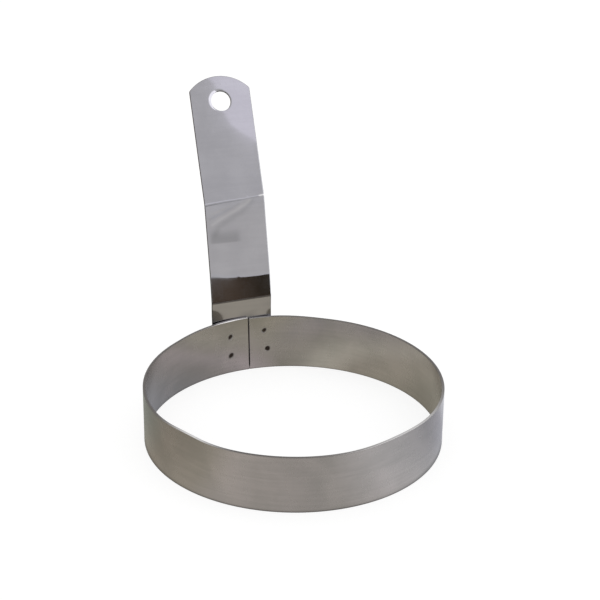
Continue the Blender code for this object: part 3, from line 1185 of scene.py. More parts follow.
@dataclass
class Handle:
    """The handle: a strip folded back at the foot and the crease, on a tab behind the band.

    A place on the flat blank is (t, s): t to the right of its middle, s up from the rim.

    Args:
        width: Width of the strip.
        thickness: Gauge of the sheet.
        length: From the band's rim to the tip.
        tab_bottom: Foot of the tab.
        crown: Rise of the round tip.
        tip_corner: Radius of the tip's corners.
        tab_corner: Radius of the tab's corners.
        edge: Radius of the sheared edges.
        tilt: Lean of the whole handle to the right, in degrees.
        left_of_seat: How far it sits left of +Y.
        seat_radius: Radius of the tab's front face.
        rim_height: Height of the band's rim.
        hole_radius: Radius of the hanging hole.
        hole_height: Middle of the hole.
        roll: Least and greatest width of the hole's drawn-in front edge.
        roll_depth: Least and greatest depth of that edge.
        roll_side: Direction of the wide side, in degrees anticlockwise from the right.
        roll_turn: Cosines from that direction at which the edge is least and greatest.
        roll_curve: Power by which its depth grows towards the hole.
        roll_rings: Rings of points down it.
        block_foot: Where the grid round the hole begins.
        bends: The bends, from the foot up.
        curved_below: Where the tab begins to leave the band's curve.
        flat_above: Where it is flat across, at its left and right edges.
        columns: Points across the blank.
        row_knots: Heights at which the rows' spacing changes, in millimetres.
        row_steps: Their spacing in each span from the tab's foot to the hole's grid, the same.
        tip_zone: Height of the zone below the tip with closer rows.
        tip_steps: Spacing of the rows beside the hole, in that zone and at the corners.
        ring_shares: Where the outer rings lie between the hole's dish and the outline.
        dish: Width round the hole in which the grid is fine.
        dish_back: Width round the hole in which the back stays flat.
        tip_back: How steeply the leaf is bent back beyond the slanting line by the hole.
        tip_round: How soft that bend is.
        electrode: Depth of an electrode's mark, and where its slope starts and ends.
        tint_top: Heights from the rim at which the heat tint begins to fade, and is gone.
        back_soot: How much of the soot shows on the tab's back.
        shade_patch_place: Middle of the painted shadow patch at the tab's left edge, to the right and up.
        shade_patch_size: Its width and height, as shares of its reach.
        shade_patch_reach: How far it reaches.
        shade_patch_share: How dark and brown the painted shadow is.
        smear: Left, right, lower and upper side of the painted shade on the lower leaf, in millimetres, each
            fading.
        leaf_shade_share: How dark the painted shade is.
        back_shift: Where the back lies on the sheet's map, beside the front.
    """

    width: float = 28.6 * MM
    thickness: float = 1.16 * MM
    length: float = 113.7 * MM
    tab_bottom: float = -24.4 * MM
    crown: float = 6.3 * MM
    tip_corner: float = 0.5 * MM
    tab_corner: float = 2.0 * MM
    edge: float = 0.2 * MM
    tilt: float = 1.7
    left_of_seat: float = 1.8 * MM
    seat_radius: float = 65.0 * MM
    rim_height: float = 25.4 * MM
    hole_radius: float = 4.65 * MM
    hole_height: float = 101.9 * MM
    roll: tuple[float, float] = (0.22 * MM, 1.25 * MM)
    roll_depth: tuple[float, float] = (0.14 * MM, 0.36 * MM)
    roll_side: float = 150.0
    roll_turn: tuple[float, float] = (-0.26, 0.94)
    roll_curve: float = 1.3
    roll_rings: int = 9
    block_foot: float = 89.0 * MM
    bends: tuple[Bend, ...] = (
        Bend(9.4 * MM, 11.8, 6.0 * MM, 2.5, 7.0 * MM, 7.0 * MM),
        Bend(21.0 * MM, 3.5, 12.0 * MM, -4.0, 50.0 * MM, 14.0 * MM, SHIN_DRIFT),
        Bend(55.2 * MM, 12.1, 4.0 * MM, 7.0, 8.0 * MM, 3.8 * MM, CREASE_DRIFT),
    )
    curved_below: float = -12.0 * MM
    flat_above: tuple[float, float] = (7.6 * MM, 4.6 * MM)
    columns: int = 73
    row_knots: tuple[float, ...] = (-22.4, -18.5, -4.5, 7.9, 10.9, 19.3, 22.7, 35.0, 52.6, 57.8, 60.0)
    row_steps: tuple[float, ...] = (0.3, 0.7, 0.3, 0.6, 0.12, 0.8, 0.2, 0.9, 0.35, 0.12, 0.5, 1.0)
    tip_zone: float = 2.0 * MM
    tip_steps: tuple[float, float, float] = (0.8 * MM, 0.4 * MM, 0.15 * MM)
    ring_shares: tuple[float, ...] = (0.95, 0.86, 0.7, 0.5, 0.3, 0.12)
    dish: float = 2.6 * MM
    dish_back: float = 3.0 * MM
    tip_back: float = 0.002
    tip_round: float = 0.8
    electrode: tuple[float, float, float] = (0.1 * MM, 0.8 * MM, 1.5 * MM)
    tint_top: tuple[float, float] = (-3.0 * MM, 4.0 * MM)
    back_soot: float = 0.8
    # Painted shadow patch at the tab's left edge.
    shade_patch_place: tuple[float, float] = (-15.2 * MM, 29.0 * MM)
    shade_patch_size: tuple[float, float] = (1.8, 2.2)
    shade_patch_reach: float = 1.3 * MM
    shade_patch_share: float = 0.8
    # Painted shade on the lower leaf.
    smear: tuple[tuple[float, float], ...] = ((-14.2, -11.5), (-1.0, 3.0), (35.8, 36.8), (38.5, 43.5))
    leaf_shade_share: float = 1.6
    back_shift: float = 0.05

    @property
    def crease(self) -> Bend:
        """The bend half way up."""
        return self.bends[-1]

    def on_frame(self, plan: Array) -> Array:
        """Puts places of the blank's front face where the folded handle has them.

        Args:
            plan: Places (t, s), n by 2.

        Returns:
            Points in the row frame.
        """
        points = np.column_stack((plan[:, 0], np.zeros(len(plan)), plan[:, 1]))
        for bend in reversed(self.bends):
            points = bend.fold(points)
        x, y, z = points.T
        across, up = turned(x, z, math.radians(self.tilt))
        across = across - self.left_of_seat
        flat_from = np.interp(across, (-self.width / 2, self.width / 2), self.flat_above)
        hold = 1.0 - smooth_step(self.curved_below, flat_from, up)
        arc = across / self.seat_radius
        right = across + hold * (self.seat_radius * np.sin(arc) - across)
        back = y - hold * self.seat_radius * (1 - np.cos(arc))
        out, rise = turned(back, up + self.rim_height, FLARE.lean)
        return np.column_stack((right, out + self.seat_radius + AXIS_Y, rise))

    def normals(self, plan: Array) -> Array:
        """Unit normals of the front face, from differences across a short step.

        Args:
            plan: Places (t, s), n by 2.

        Returns:
            The normals.
        """
        step = 0.02 * MM
        across = self.on_frame(plan + (step, 0.0)) - self.on_frame(plan - (step, 0.0))
        up = self.on_frame(plan + (0.0, step)) - self.on_frame(plan - (0.0, step))
        normal = np.cross(across, up)
        return normal / np.linalg.norm(normal, axis=1, keepdims=True)

    def crown_drop(self, across: Array) -> Array:
        """Fall of the tip's arc away from the middle: R - sqrt(R² - t²)."""
        half = self.width / 2
        return fall((half**2 + self.crown**2) / (2 * self.crown), across)

    def row(self, station: float, shares: Array) -> Array:
        """Places along one row of the blank.

        The row slants with the crease near it and curves with the tip above it, and it
        is shorter where a corner is rounded off.

        Args:
            station: Where the row crosses the middle.
            shares: Places across, from -1 to 1.

        Returns:
            Places (t, s).
        """
        half = self.width / 2
        for corner, near in (
            (self.tab_corner, station - self.tab_bottom),
            (self.tip_corner, self.length - station),
        ):
            half -= fall(corner, min(max(corner - near, 0.0), corner))
        across = shares * half
        crease = self.crease
        lines = [(0.0, 0.0), *((bend.height, bend.skew) for bend in self.bends), (self.length, 0.0)]
        slant = np.interp(station, *zip(*lines))
        curve = max(0.0, station - crease.height) / (self.length - crease.height)
        rise = math.tan(math.radians(slant)) * across
        return np.column_stack((across, station + rise - curve * self.crown_drop(across)))

    def body_rows(self) -> Array:
        """Stations from the tab's foot to the grid round the hole, closer at the bends.

        Returns:
            The stations, rising.
        """
        knots = (self.tab_bottom, *(knot * MM for knot in self.row_knots), self.block_foot)
        return spaced(knots, [step * MM for step in self.row_steps])

    def tip_rows(self) -> Array:
        """Stations from the grid round the hole to the tip."""
        top = self.length
        return spaced((self.block_foot, top - self.tip_zone, top - self.tip_corner, top), self.tip_steps)[1:]

    def plan_grid(self) -> tuple[Array, Array, Array, Array]:
        """Lays a grid over the blank, with rings round the hole.

        Returns:
            The places (t, s) of all points, the numbers of the body's grid, those of the
            rings from the outermost in, and those of the blank's outline, all of them
            anticlockwise as seen from the front.
        """
        shares = np.linspace(-1.0, 1.0, self.columns)
        body = np.array([self.row(station, shares) for station in self.body_rows()])
        tips = [self.row(station, np.array((-1.0, 1.0))) for station in self.tip_rows()]
        crown = self.row(self.length, shares)
        body_index = numbered(*body.shape[:2])
        right = np.array([tip[1] for tip in tips])
        left = np.array([tip[0] for tip in tips])[::-1]
        rest = np.concatenate((right, crown[-2:0:-1], left))
        rest_index = body_index.size + np.arange(len(rest))
        border = np.concatenate((body[-1], rest))
        border_index = np.concatenate((body_index[-1], rest_index))

        middle = np.array((0.0, self.hole_height))
        ray = border - middle
        ray /= np.linalg.norm(ray, axis=1, keepdims=True)
        roll = self.rolled_edge(ray, self.roll)
        shares, spread = self.ring_offsets()
        near = [
            middle + ray * (self.hole_radius + roll * share + wide)[:, None]
            for share, wide in zip(shares, spread)
        ]
        far = [near[0] + share * (border - near[0]) for share in self.ring_shares]
        rings = np.concatenate(far + near)
        ring_index = rest_index[-1] + 1 + numbered(len(far + near), len(border_index))
        ring_index = np.vstack((border_index, ring_index))
        outline = np.concatenate((body_index[0], body_index[1:, -1], rest_index, body_index[-1:0:-1, 0]))
        plan = np.concatenate((body.reshape(-1, 2), rest, rings))
        return plan, body_index, ring_index, outline

    def rolled_edge(self, ray: Array, limits: tuple[float, float]) -> Array:
        """A size of the hole's drawn-in edge, greatest to the upper left, where the punch bit first.

        Args:
            ray: Directions out of the hole's middle.
            limits: The size on the far side and on the side that was bitten first.

        Returns:
            The size in each direction.
        """
        side = math.radians(self.roll_side)
        share = smooth_step(*self.roll_turn, ray @ (math.cos(side), math.sin(side)))
        return limits[0] + share * (limits[1] - limits[0])

    def ring_offsets(self) -> tuple[Array, Array]:
        """Offsets of the rings from the hole's edge, the outermost first.

        Returns:
            The share of the drawn-in edge's width, and what is added beyond it.
        """
        dished = spaced((0.0, self.dish), (self.edge,))[::-1]
        rolled = self.roll_shares()
        shares = np.concatenate((np.ones_like(dished), rolled))
        return shares, np.concatenate((dished, np.zeros_like(rolled)))

    def roll_shares(self) -> Array:
        """Shares of the drawn-in edge's width that carry a ring, down to the hole."""
        return np.linspace(1.0, 0.0, self.roll_rings + 1)[1:]

    def relief(self, plan: Array) -> Array:
        """How far the front face lies behind the folded blank.

        It is bent back a little beyond a slanting line by the hole, creased by the two
        faint folds that fan out below the crease, and sprung open at its bends.

        Args:
            plan: Places (t, s), n by 2.

        Returns:
            The depth at each place.
        """
        t, s = plan[:, 0] / MM, plan[:, 1] / MM
        line = np.interp(s, *zip(*SPRUNG_LINE))
        past = t - line
        sunk = self.tip_back * (np.sqrt(past**2 + self.tip_round) + past)
        sunk -= sum(ridge.over(plan) for ridge in FAN_RIDGES)
        return sunk * MM + sum(bend.slack(plan, self.width / 2) for bend in self.bends)

    def edge_loops(self, border: Array, outward: Array) -> tuple[list[Array], list[Array]]:
        """Loops round the sheared edge, from the front face to the back one.

        Args:
            border: Places of the front face's outermost points.
            outward: Directions out of the blank there.

        Returns:
            The places of each loop on the blank, and its points.
        """
        turns = np.linspace(0.0, math.pi / 2, 5)[1:]
        plans = [border + outward * self.edge * math.sin(turn) for turn in turns]
        dips = [self.edge * (1 - math.cos(turn)) for turn in turns]
        sunk = self.relief(border)
        depths = [sunk + dip for dip in dips] + [sunk + self.thickness - dip for dip in dips[::-1]]
        plans = plans + plans[::-1]
        loops = [
            self.on_frame(plan) - self.normals(plan) * depth[:, None]
            for plan, depth in zip(plans, depths)
        ]
        return plans, loops

    def surface(self) -> Surface:
        """Wraps the grid over both faces and joins them round the outline and the hole.

        Returns:
            The handle's surface.
        """
        plan, body, rings, outline = self.plan_grid()
        count = len(plan)
        tangent = plan[np.roll(outline, -1)] - plan[np.roll(outline, 1)]
        outward = np.column_stack((tangent[:, 1], -tangent[:, 0]))
        outward /= np.linalg.norm(outward, axis=1, keepdims=True)
        faces = plan.copy()
        faces[outline] = plan[outline] - outward * self.edge

        ray = faces[rings[-1]] - (0.0, self.hole_height)
        rolled_depth = self.rolled_edge(ray / self.hole_radius, self.roll_depth)
        rolled = np.zeros(count)
        shares = self.roll_shares()
        for ring, share in zip(rings[-len(shares) :], shares):
            rolled[ring] = rolled_depth * (1 - share) ** self.roll_curve
        relief = self.relief(faces)
        front_depth = relief + rolled
        back_depth = self.thickness + relief * self.back_share(faces) - self.electrode_marks(faces)
        normal = self.normals(faces)
        start = self.on_frame(faces)
        front = start - normal * front_depth[:, None]
        back = start - normal * back_depth[:, None]

        plans, loops = self.edge_loops(faces[outline], outward)
        walls = np.vstack((outline, 2 * count + numbered(len(loops), len(outline)), outline + count))
        walls = np.hstack((walls, walls[:, :1]))
        rings = np.hstack((rings, rings[:, :1]))
        hole = np.vstack((rings[-1] + count, rings[-1]))
        fronts = [grid_quads(grid)[:, ::-1] for grid in (body, rings)]
        others = [grid_quads(grid) for grid in (body + count, rings + count, walls, hole)]
        quads = np.concatenate(fronts + others)
        points = np.concatenate((front, back, *loops))
        sheet = np.concatenate((faces, faces + (self.back_shift, 0.0), *plans))
        return Surface(points, quads, sheet[quads], [], self.marks(points, faces, rings[-1] + count))

    def marks(self, points: Array, faces: Array, back_hole: Array) -> dict[Mark, Array]:
        """Marks the heat of the welds, the sheared edges, the painted shade, the painted highlight lines and
        the painted shadow patch.

        Args:
            points: All points: those of the front, of the back and of the edge.
            faces: Places of the front's points on the blank.
            back_hole: Numbers of the points round the hole's back.

        Returns:
            The strength of each mark at each point.
        """
        count, others = len(faces), np.zeros(len(points) - len(faces))
        heat, scorch = HEAT.marks(self.arc(points), points[:, 2])
        low = 1.0 - smooth_step(*self.tint_top, points[:, 2] - self.rim_height)
        on_back, sheared = np.zeros(len(points)), np.zeros(len(points))
        on_back[count : 2 * count] = 1.0
        sheared[2 * count :] = 1.0
        sheared[back_hole] = 1.0
        # Painted shade on the lower leaf and by the fan's ridges, and painted highlight lines by the crease.
        smudge = self.smudge(faces) + sum(stroke.over(faces) for stroke in SHADE_STROKES)
        shine = sum(stroke.over(faces) for stroke in HIGHLIGHT_STROKES)
        return {
            # The welds' heat tint, plus the painted shadow patch at the tab's left edge in the same brown.
            Mark.HEAT: np.clip(heat * low + self.tab_shade_patch(points), 0.0, 1.0),
            Mark.SCORCH: scorch * on_back * self.back_soot,
            Mark.EDGE: sheared,
            Mark.PAINTED_SHADE: np.concatenate((smudge, others)),
            Mark.PAINTED_HIGHLIGHT: np.concatenate((shine, others)),
        }

    def arc(self, points: Array) -> Array:
        """Arc of points along the band to the right of +Y."""
        return np.arctan2(points[:, 0], points[:, 1] - AXIS_Y) * self.seat_radius

    def back_share(self, plan: Array) -> Array:
        """How much of the front's relief shows on the back: all but the hole's dish."""
        away = np.hypot(plan[:, 0], plan[:, 1] - self.hole_height) - self.hole_radius
        return smooth_step(0.0, self.dish_back, away)

    def electrode_marks(self, plan: Array) -> Array:
        """Shallow round marks that the welding electrode left on the tab's back.

        Args:
            plan: Places (t, s), n by 2.

        Returns:
            Their depth at each place.
        """
        points = self.on_frame(plan)
        right = self.arc(points)
        depth, inner, outer = self.electrode
        sunk = np.zeros(len(plan))
        for spot in WELD_SPOTS:
            away = np.hypot(right - spot.across, points[:, 2] - spot.height)
            sunk += depth * (1 - smooth_step(inner, outer, away))
        return sunk

    def smudge(self, plan: Array) -> Array:
        """Painted shade across the left of the lower leaf, sharper along its lower side.

        Args:
            plan: Places (t, s), n by 2.

        Returns:
            How strong the painted shade is at each place.
        """
        t, s = plan[:, 0] / MM, plan[:, 1] / MM
        left, right, lower, upper = self.smear
        across = smooth_step(*left, t) * (1 - smooth_step(*right, t))
        return self.leaf_shade_share * across * smooth_step(*lower, s) * (1 - smooth_step(*upper, s))

    def tab_shade_patch(self, points: Array) -> Array:
        """A painted shadow: a brown-dark patch at the tab's left edge, just above the rim, coloured through
        the heat tint.

        Args:
            points: Points in the row frame.

        Returns:
            How strong the painted shadow is at each point.
        """
        place, size = self.shade_patch_place, self.shade_patch_size
        away = np.hypot((points[:, 0] - place[0]) / size[0], (points[:, 2] - place[1]) / size[1])
        return self.shade_patch_share * bell(away, self.shade_patch_reach)


@dataclass
class SpotWeld:
    """One spot weld: a crusted pit floor inside and a shallow mark on the tab's back.

    Args:
        spot: Where it is and how large its pit is.
        inner: Radius from the ring's axis of the pit's floor.
        outer: Radius from the ring's axis of the mark outside.
        pit: Profile of the inner half: share of the pit's size, and depth in millimetres
            beyond the floor.
        mark: Profile of the outer half: share of the size, and depth under the mark.
        steps: Points round it.
        waves: How far two slow waves pull its edge in and out.
    """

    spot: WeldSpot
    inner: float = 63.76 * MM
    outer: float = 66.08 * MM
    pit: tuple[tuple[float, float], ...] = (
        (0.02, 0.1),
        (0.28, 0.07),
        (0.52, 0.03),
        (0.72, 0.0),
        (0.82, 0.05),
        (0.86, 0.16),
        (0.86, 0.6),
        (0.95, 1.1),
    )
    mark: tuple[tuple[float, float], ...] = (
        (0.95, 0.85),
        (0.86, 0.5),
        (0.86, 0.1),
        (0.8, 0.02),
        (0.5, 0.0),
        (0.02, 0.0),
    )
    steps: int = 40
    waves: tuple[float, float] = (0.09, 0.06)

    def surface(self) -> Surface:
        """Turns a profile round the weld's axis and stretches it to the pit's oval.

        A point at share r of the radius and turn a lies at (length r cos a, width r
        sin a), with the edge pulled in and out by two slow waves, so no pit is round.

        Returns:
            The weld's surface.
        """
        seed = (0.7 * self.spot.across + 0.4 * self.spot.height) / MM
        inward = np.array([share for share, depth in self.pit + self.mark])
        radius = np.array(
            [self.inner + depth * MM for share, depth in self.pit]
            + [self.outer - depth * MM for share, depth in self.mark]
        )
        turn = np.linspace(0.0, math.tau, self.steps, endpoint=False)
        slow, quick = self.waves
        wave = 1 + slow * np.sin(2 * turn + seed) + quick * np.sin(5 * turn + 2 * seed)
        share = np.outer(inward, wave)
        major = self.spot.length * share * np.cos(turn)
        minor = self.spot.width * share * np.sin(turn)
        along, up = turned(major, minor, -math.radians(self.spot.slant))
        height = self.spot.height + up
        distance = np.broadcast_to(radius[:, None], share.shape)
        bearing = math.pi / 2 - self.spot.across / FLARE.radius - along / distance
        distance = distance + FLARE.reach(math.pi / 2 - bearing, height)
        x, y = distance * np.cos(bearing), distance * np.sin(bearing) + AXIS_Y
        points = np.stack((x, y, height), axis=-1).reshape(-1, 3)
        index = numbered(*share.shape)
        quads = grid_quads(np.hstack((index, index[:, :1])))[:, ::-1]
        caps = [index[0].tolist(), index[-1, ::-1].tolist()]
        return Surface(points, quads, np.zeros((len(quads), 4, 2)), caps)


@dataclass(frozen=True)
class Lamp:
    """A soft rectangular lamp, placed by where it is seen from the object.

    Args:
        name: Name of the lamp.
        bearing: Direction to it, in degrees anticlockwise from +X.
        rise: Its height above the horizon, in degrees.
        distance: How far it is.
        size: Width and height.
        radiance: How bright its face is, where 1 is white.
        colour: Its colour.
    """

    name: str
    bearing: float
    rise: float
    distance: float
    size: tuple[float, float]
    radiance: float
    colour: Colour = WHITE

    def hang(self, aim: Vector) -> None:
        """Puts the lamp in the scene, facing the point that it is aimed at.

        Args:
            aim: That point.
        """
        data = bpy.data.lights.new(self.name, "AREA")
        data.shape = "RECTANGLE"
        data.size, data.size_y = self.size
        data.color = self.colour
        data.energy = self.radiance * math.pi * self.size[0] * self.size[1]
        lamp = bpy.data.objects.new(self.name, data)
        way = Vector(direction(self.bearing, self.rise))
        facing = (-way).to_track_quat("-Z", "Y").to_matrix().to_4x4()
        lamp.matrix_world = Matrix.Translation(aim + way * self.distance) @ facing
        lamp.visible_camera = False
        bpy.context.scene.collection.objects.link(lamp)


def direction(bearing: float, rise: float) -> Array:
    """Unit vector to a bearing, anticlockwise from +X, and a height above the horizon."""
    turn, lift = math.radians(bearing), math.radians(rise)
    return np.array((math.cos(turn) * math.cos(lift), math.sin(turn) * math.cos(lift), math.sin(lift)))


@dataclass(frozen=True)
class Card:
    """A flat glowing card in the room, which only the metal reflects.

    Args:
        name: Name of the card.
        anchor: Point that it faces, from which its corners are sighted.
        corners: Bearing and rise of each corner, in degrees.
        stops: Its colours from the lowest bearing to the highest, by the share of the way.
        distance: How far it stands.
    """

    name: str
    anchor: tuple[float, float, float]
    corners: tuple[tuple[float, float], ...]
    stops: tuple[Stop, ...]
    distance: float = 1.5

    def material(self) -> bpy.types.Material:
        """Wires the glow, from colour to colour along the card.

        Returns:
            The material.
        """
        wire = Wiring(bpy.data.materials.new(self.name))
        place = wire.add("ShaderNodeUVMap", uv_map=SHEET_MAP).outputs["UV"]
        split = wire.add("ShaderNodeSeparateXYZ", {"Vector": place})
        return wire.glow(wire.ramp(split.outputs["X"], self.stops))

    def stand(self) -> None:
        """Stands the card square to the middle of its corners, as part of the stage."""
        bearings, rises = np.array(self.corners).T
        axis = direction(float(bearings.mean()), float(rises.mean()))
        points = []
        for corner in self.corners:
            way = direction(*corner)
            points.append(tuple(np.array(self.anchor) + way * self.distance / (way @ axis)))
        mesh = bpy.data.meshes.new(self.name)
        mesh.from_pydata(points, [], [tuple(range(len(points)))])
        shares = (bearings - bearings.min()) / np.ptp(bearings)
        sheet = mesh.uv_layers.new(name=SHEET_MAP)
        for corner, place in zip(mesh.loops, sheet.data):
            place.uv = (shares[corner.vertex_index], 0.5)
        show_in_metal_only(put_on_stage(mesh, self.material()))


def put_on_stage(mesh: bpy.types.Mesh, material: bpy.types.Material) -> bpy.types.Object:
    """Makes an object of a mesh, gives it its material and links it to the scene.

    Args:
        mesh: The mesh.
        material: What it is painted with.

    Returns:
        The staged object.
    """
    mesh.materials.append(material)
    piece = bpy.data.objects.new(mesh.name, mesh)
    bpy.context.scene.collection.objects.link(piece)
    return piece


def lay_square(name: str, half: float, height: float, material: bpy.types.Material) -> bpy.types.Object:
    """Lays a level square on the stage, centred on the origin.

    Args:
        name: Name of the square.
        half: Half its side.
        height: Its height.
        material: What it is painted with.

    Returns:
        The staged object.
    """
    corners = [(-half, -half, height), (half, -half, height), (half, half, height), (-half, half, height)]
    mesh = bpy.data.meshes.new(name)
    mesh.from_pydata(corners, [], [(0, 1, 2, 3)])
    return put_on_stage(mesh, material)


def even(colour: Colour) -> tuple[Stop, ...]:
    """The same colour from end to end."""
    return ((0.0, colour), (1.0, colour))


def show_in_metal_only(card: bpy.types.Object) -> None:
    """Keeps a card out of every kind of ray but those that metal reflects."""
    card.visible_camera = card.visible_diffuse = False
    card.visible_shadow = card.visible_transmission = False


# Points on the handle that the cards are sighted from.
CREASE_EYE = (0.0, 0.057, 0.079)
LEAF_EYE = (0.0, 0.068, 0.1)
FOOT_EYE = (-0.0015, 0.045, 0.041)

CARDS = (
    Card(
        "dark_doorway",
        FOOT_EYE,
        ((264.0, -1.5), (294.0, -1.5), (294.0, 7.6), (286.1, 7.6), (285.8, 6.0), (264.0, 6.0)),
        ((0.64, (0.098, 0.082, 0.059)), (0.71, (0.149, 0.105, 0.073)), (0.77, (0.049, 0.039, 0.026))),
    ),
    Card(
        "door_head",
        FOOT_EYE,
        ((264.0, 6.0), (285.8, 6.0), (286.1, 7.6), (264.0, 8.2)),
        ((0.0, (0.36, 0.35, 0.34)), (0.95, (0.36, 0.35, 0.34)), (1.0, (0.18, 0.14, 0.11))),
    ),
    Card(
        "low_wall",
        CREASE_EYE,
        ((262.0, 9.6), (294.0, 9.6), (294.0, 14.2), (262.0, 14.2)),
        even((1.0, 0.99, 0.965)),
    ),
    Card(
        "shelf",
        CREASE_EYE,
        ((268.0, 18.0), (294.0, 18.0), (294.0, 21.5), (268.0, 21.5)),
        ((0.0, (0.5, 0.5, 0.5)), (1.0, (0.62, 0.62, 0.62))),
    ),
    Card(
        "strip_softbox",
        CREASE_EYE,
        ((268.0, 30.0), (294.0, 30.0), (294.0, 36.5), (268.0, 36.5)),
        even((1.3, 1.3, 1.35)),
    ),
    Card(
        "side_window",
        LEAF_EYE,
        ((295.0, 0.0), (348.0, 0.0), (348.0, 60.0), (319.0, 60.0), (319.0, 36.5), (295.0, 36.5)),
        even((2.3, 2.3, 2.35)),
    ),
    Card(
        "window",
        LEAF_EYE,
        (
            (289.5, 62.0),
            (290.1, 46.0),
            (290.15, 42.3),
            (289.8, 41.7),
            (289.92, 41.05),
            (290.36, 40.56),
            (290.91, 40.03),
            (294.0, 37.6),
            (318.0, 37.0),
            (318.0, 62.0),
        ),
        even((1.5, 1.48, 1.58)),
    ),
)


@dataclass
class TableCard:
    """The table as the metal shows it: warm grey, bluish to the right, with a painted shadow along the band's
    foot.

    Args:
        half: Half its side.
        lift: Its height above the floor.
        front: Bearing of the camera from the ring's axis, in degrees.
        foot: Radius of the middle of the band's foot.
        foot_half: Half the width of that foot.
        outside: Colours round the ring, by degrees to the right of the front.
        inside: Colours inside it, by degrees to the right of the back.
        far: Colour of the far end of the table.
        far_from: Where the table begins to darken, and where it is dark.
        foot_dark: How much of the light is lost along the band's foot, inside and outside.
        foot_reach: How far from the band's middle the light begins to come back, and is back.
    """

    half: float = 3.0
    lift: float = 0.05 * MM
    front: float = -110.0
    foot: float = 64.1 * MM
    foot_half: float = 0.5 * MM
    outside: tuple[Stop, ...] = (
        (-96.0, (0.37, 0.38, 0.34)),
        (-70.0, (0.475, 0.43, 0.365)),
        (-45.0, (0.615, 0.57, 0.5)),
        (-30.0, (0.75, 0.7, 0.675)),
        (6.0, (0.63, 0.6, 0.59)),
        (19.0, (0.67, 0.645, 0.635)),
        (45.0, (0.94, 0.925, 0.97)),
        (58.0, (0.82, 0.825, 0.875)),
        (83.0, (0.575, 0.585, 0.65)),
        (96.0, (0.585, 0.59, 0.67)),
        (112.0, (0.95, 0.97, 1.05)),
    )
    inside: tuple[Stop, ...] = (
        (-110.0, (0.68, 0.63, 0.51)),
        (-80.0, (0.43, 0.445, 0.5)),
        (-50.0, (0.45, 0.45, 0.48)),
        (-32.0, (0.49, 0.465, 0.47)),
        (-17.0, (0.7, 0.635, 0.675)),
        (-5.0, (0.455, 0.435, 0.395)),
        (2.0, (0.55, 0.525, 0.48)),
        (9.0, (0.75, 0.73, 0.655)),
        (16.0, (0.76, 0.725, 0.65)),
        (24.0, (0.57, 0.53, 0.465)),
        (35.0, (0.6, 0.56, 0.485)),
        (52.0, (0.48, 0.455, 0.39)),
        (66.0, (0.44, 0.415, 0.355)),
        (86.0, (0.42, 0.4, 0.34)),
        (103.0, (0.68, 0.63, 0.51)),
    )
    far: Colour = (0.13, 0.1, 0.08)
    far_from: tuple[float, float] = (0.2, 0.32)
    foot_dark: tuple[float, float] = (0.15, 0.5)
    foot_reach: tuple[float, float] = (0.6 * MM, 2.4 * MM)

    @staticmethod
    def around(wire: Wiring, place: Socket, stops: tuple[Stop, ...]) -> Socket:
        """Colours round the axis, from stops in degrees from the place's +X."""
        turn = wire.add("ShaderNodeTexGradient", {"Vector": place}, gradient_type="RADIAL")
        return wire.ramp(turn.outputs["Fac"], [(0.5 + degrees / 360.0, colour) for degrees, colour in stops])

    def lay(self) -> None:
        """Lays the card and wires its colours round the ring's axis and out from it."""
        wire = Wiring(bpy.data.materials.new("table_card"))
        place = wire.add("ShaderNodeTexCoord").outputs["Object"]
        centred = wire.mapped(place, Location=(0.0, -AXIS_Y, 0.0))
        facing = wire.mapped(centred, Rotation=(0.0, 0.0, -math.radians(self.front)))
        outside = self.around(wire, facing, self.outside)
        inside = self.around(wire, wire.mapped(facing, Scale=(-1.0, 1.0, 1.0)), self.inside)
        away = wire.add("ShaderNodeVectorMath", {0: centred}, operation="LENGTH").outputs["Value"]

        across_band = (self.foot - self.foot_half, self.foot + self.foot_half)
        colour = wire.blend(wire.ranged(away, across_band), inside, outside)
        colour = wire.blend(wire.ranged(away, self.far_from), colour, self.far)
        # Painted shadow along the band's foot, standing in for the contact shade that the metal reflects.
        from_band = wire.maths("ABSOLUTE", wire.maths("SUBTRACT", away, self.foot), 0.0)
        shadow = wire.ranged(from_band, self.foot_reach, (1.0, 0.0))
        dark = wire.maths("MULTIPLY", shadow, wire.ranged(away, across_band, self.foot_dark))
        material = wire.glow(wire.blend(dark, colour, (0.0, 0.0, 0.0)))
        show_in_metal_only(lay_square("table_card", self.half, self.lift, material))


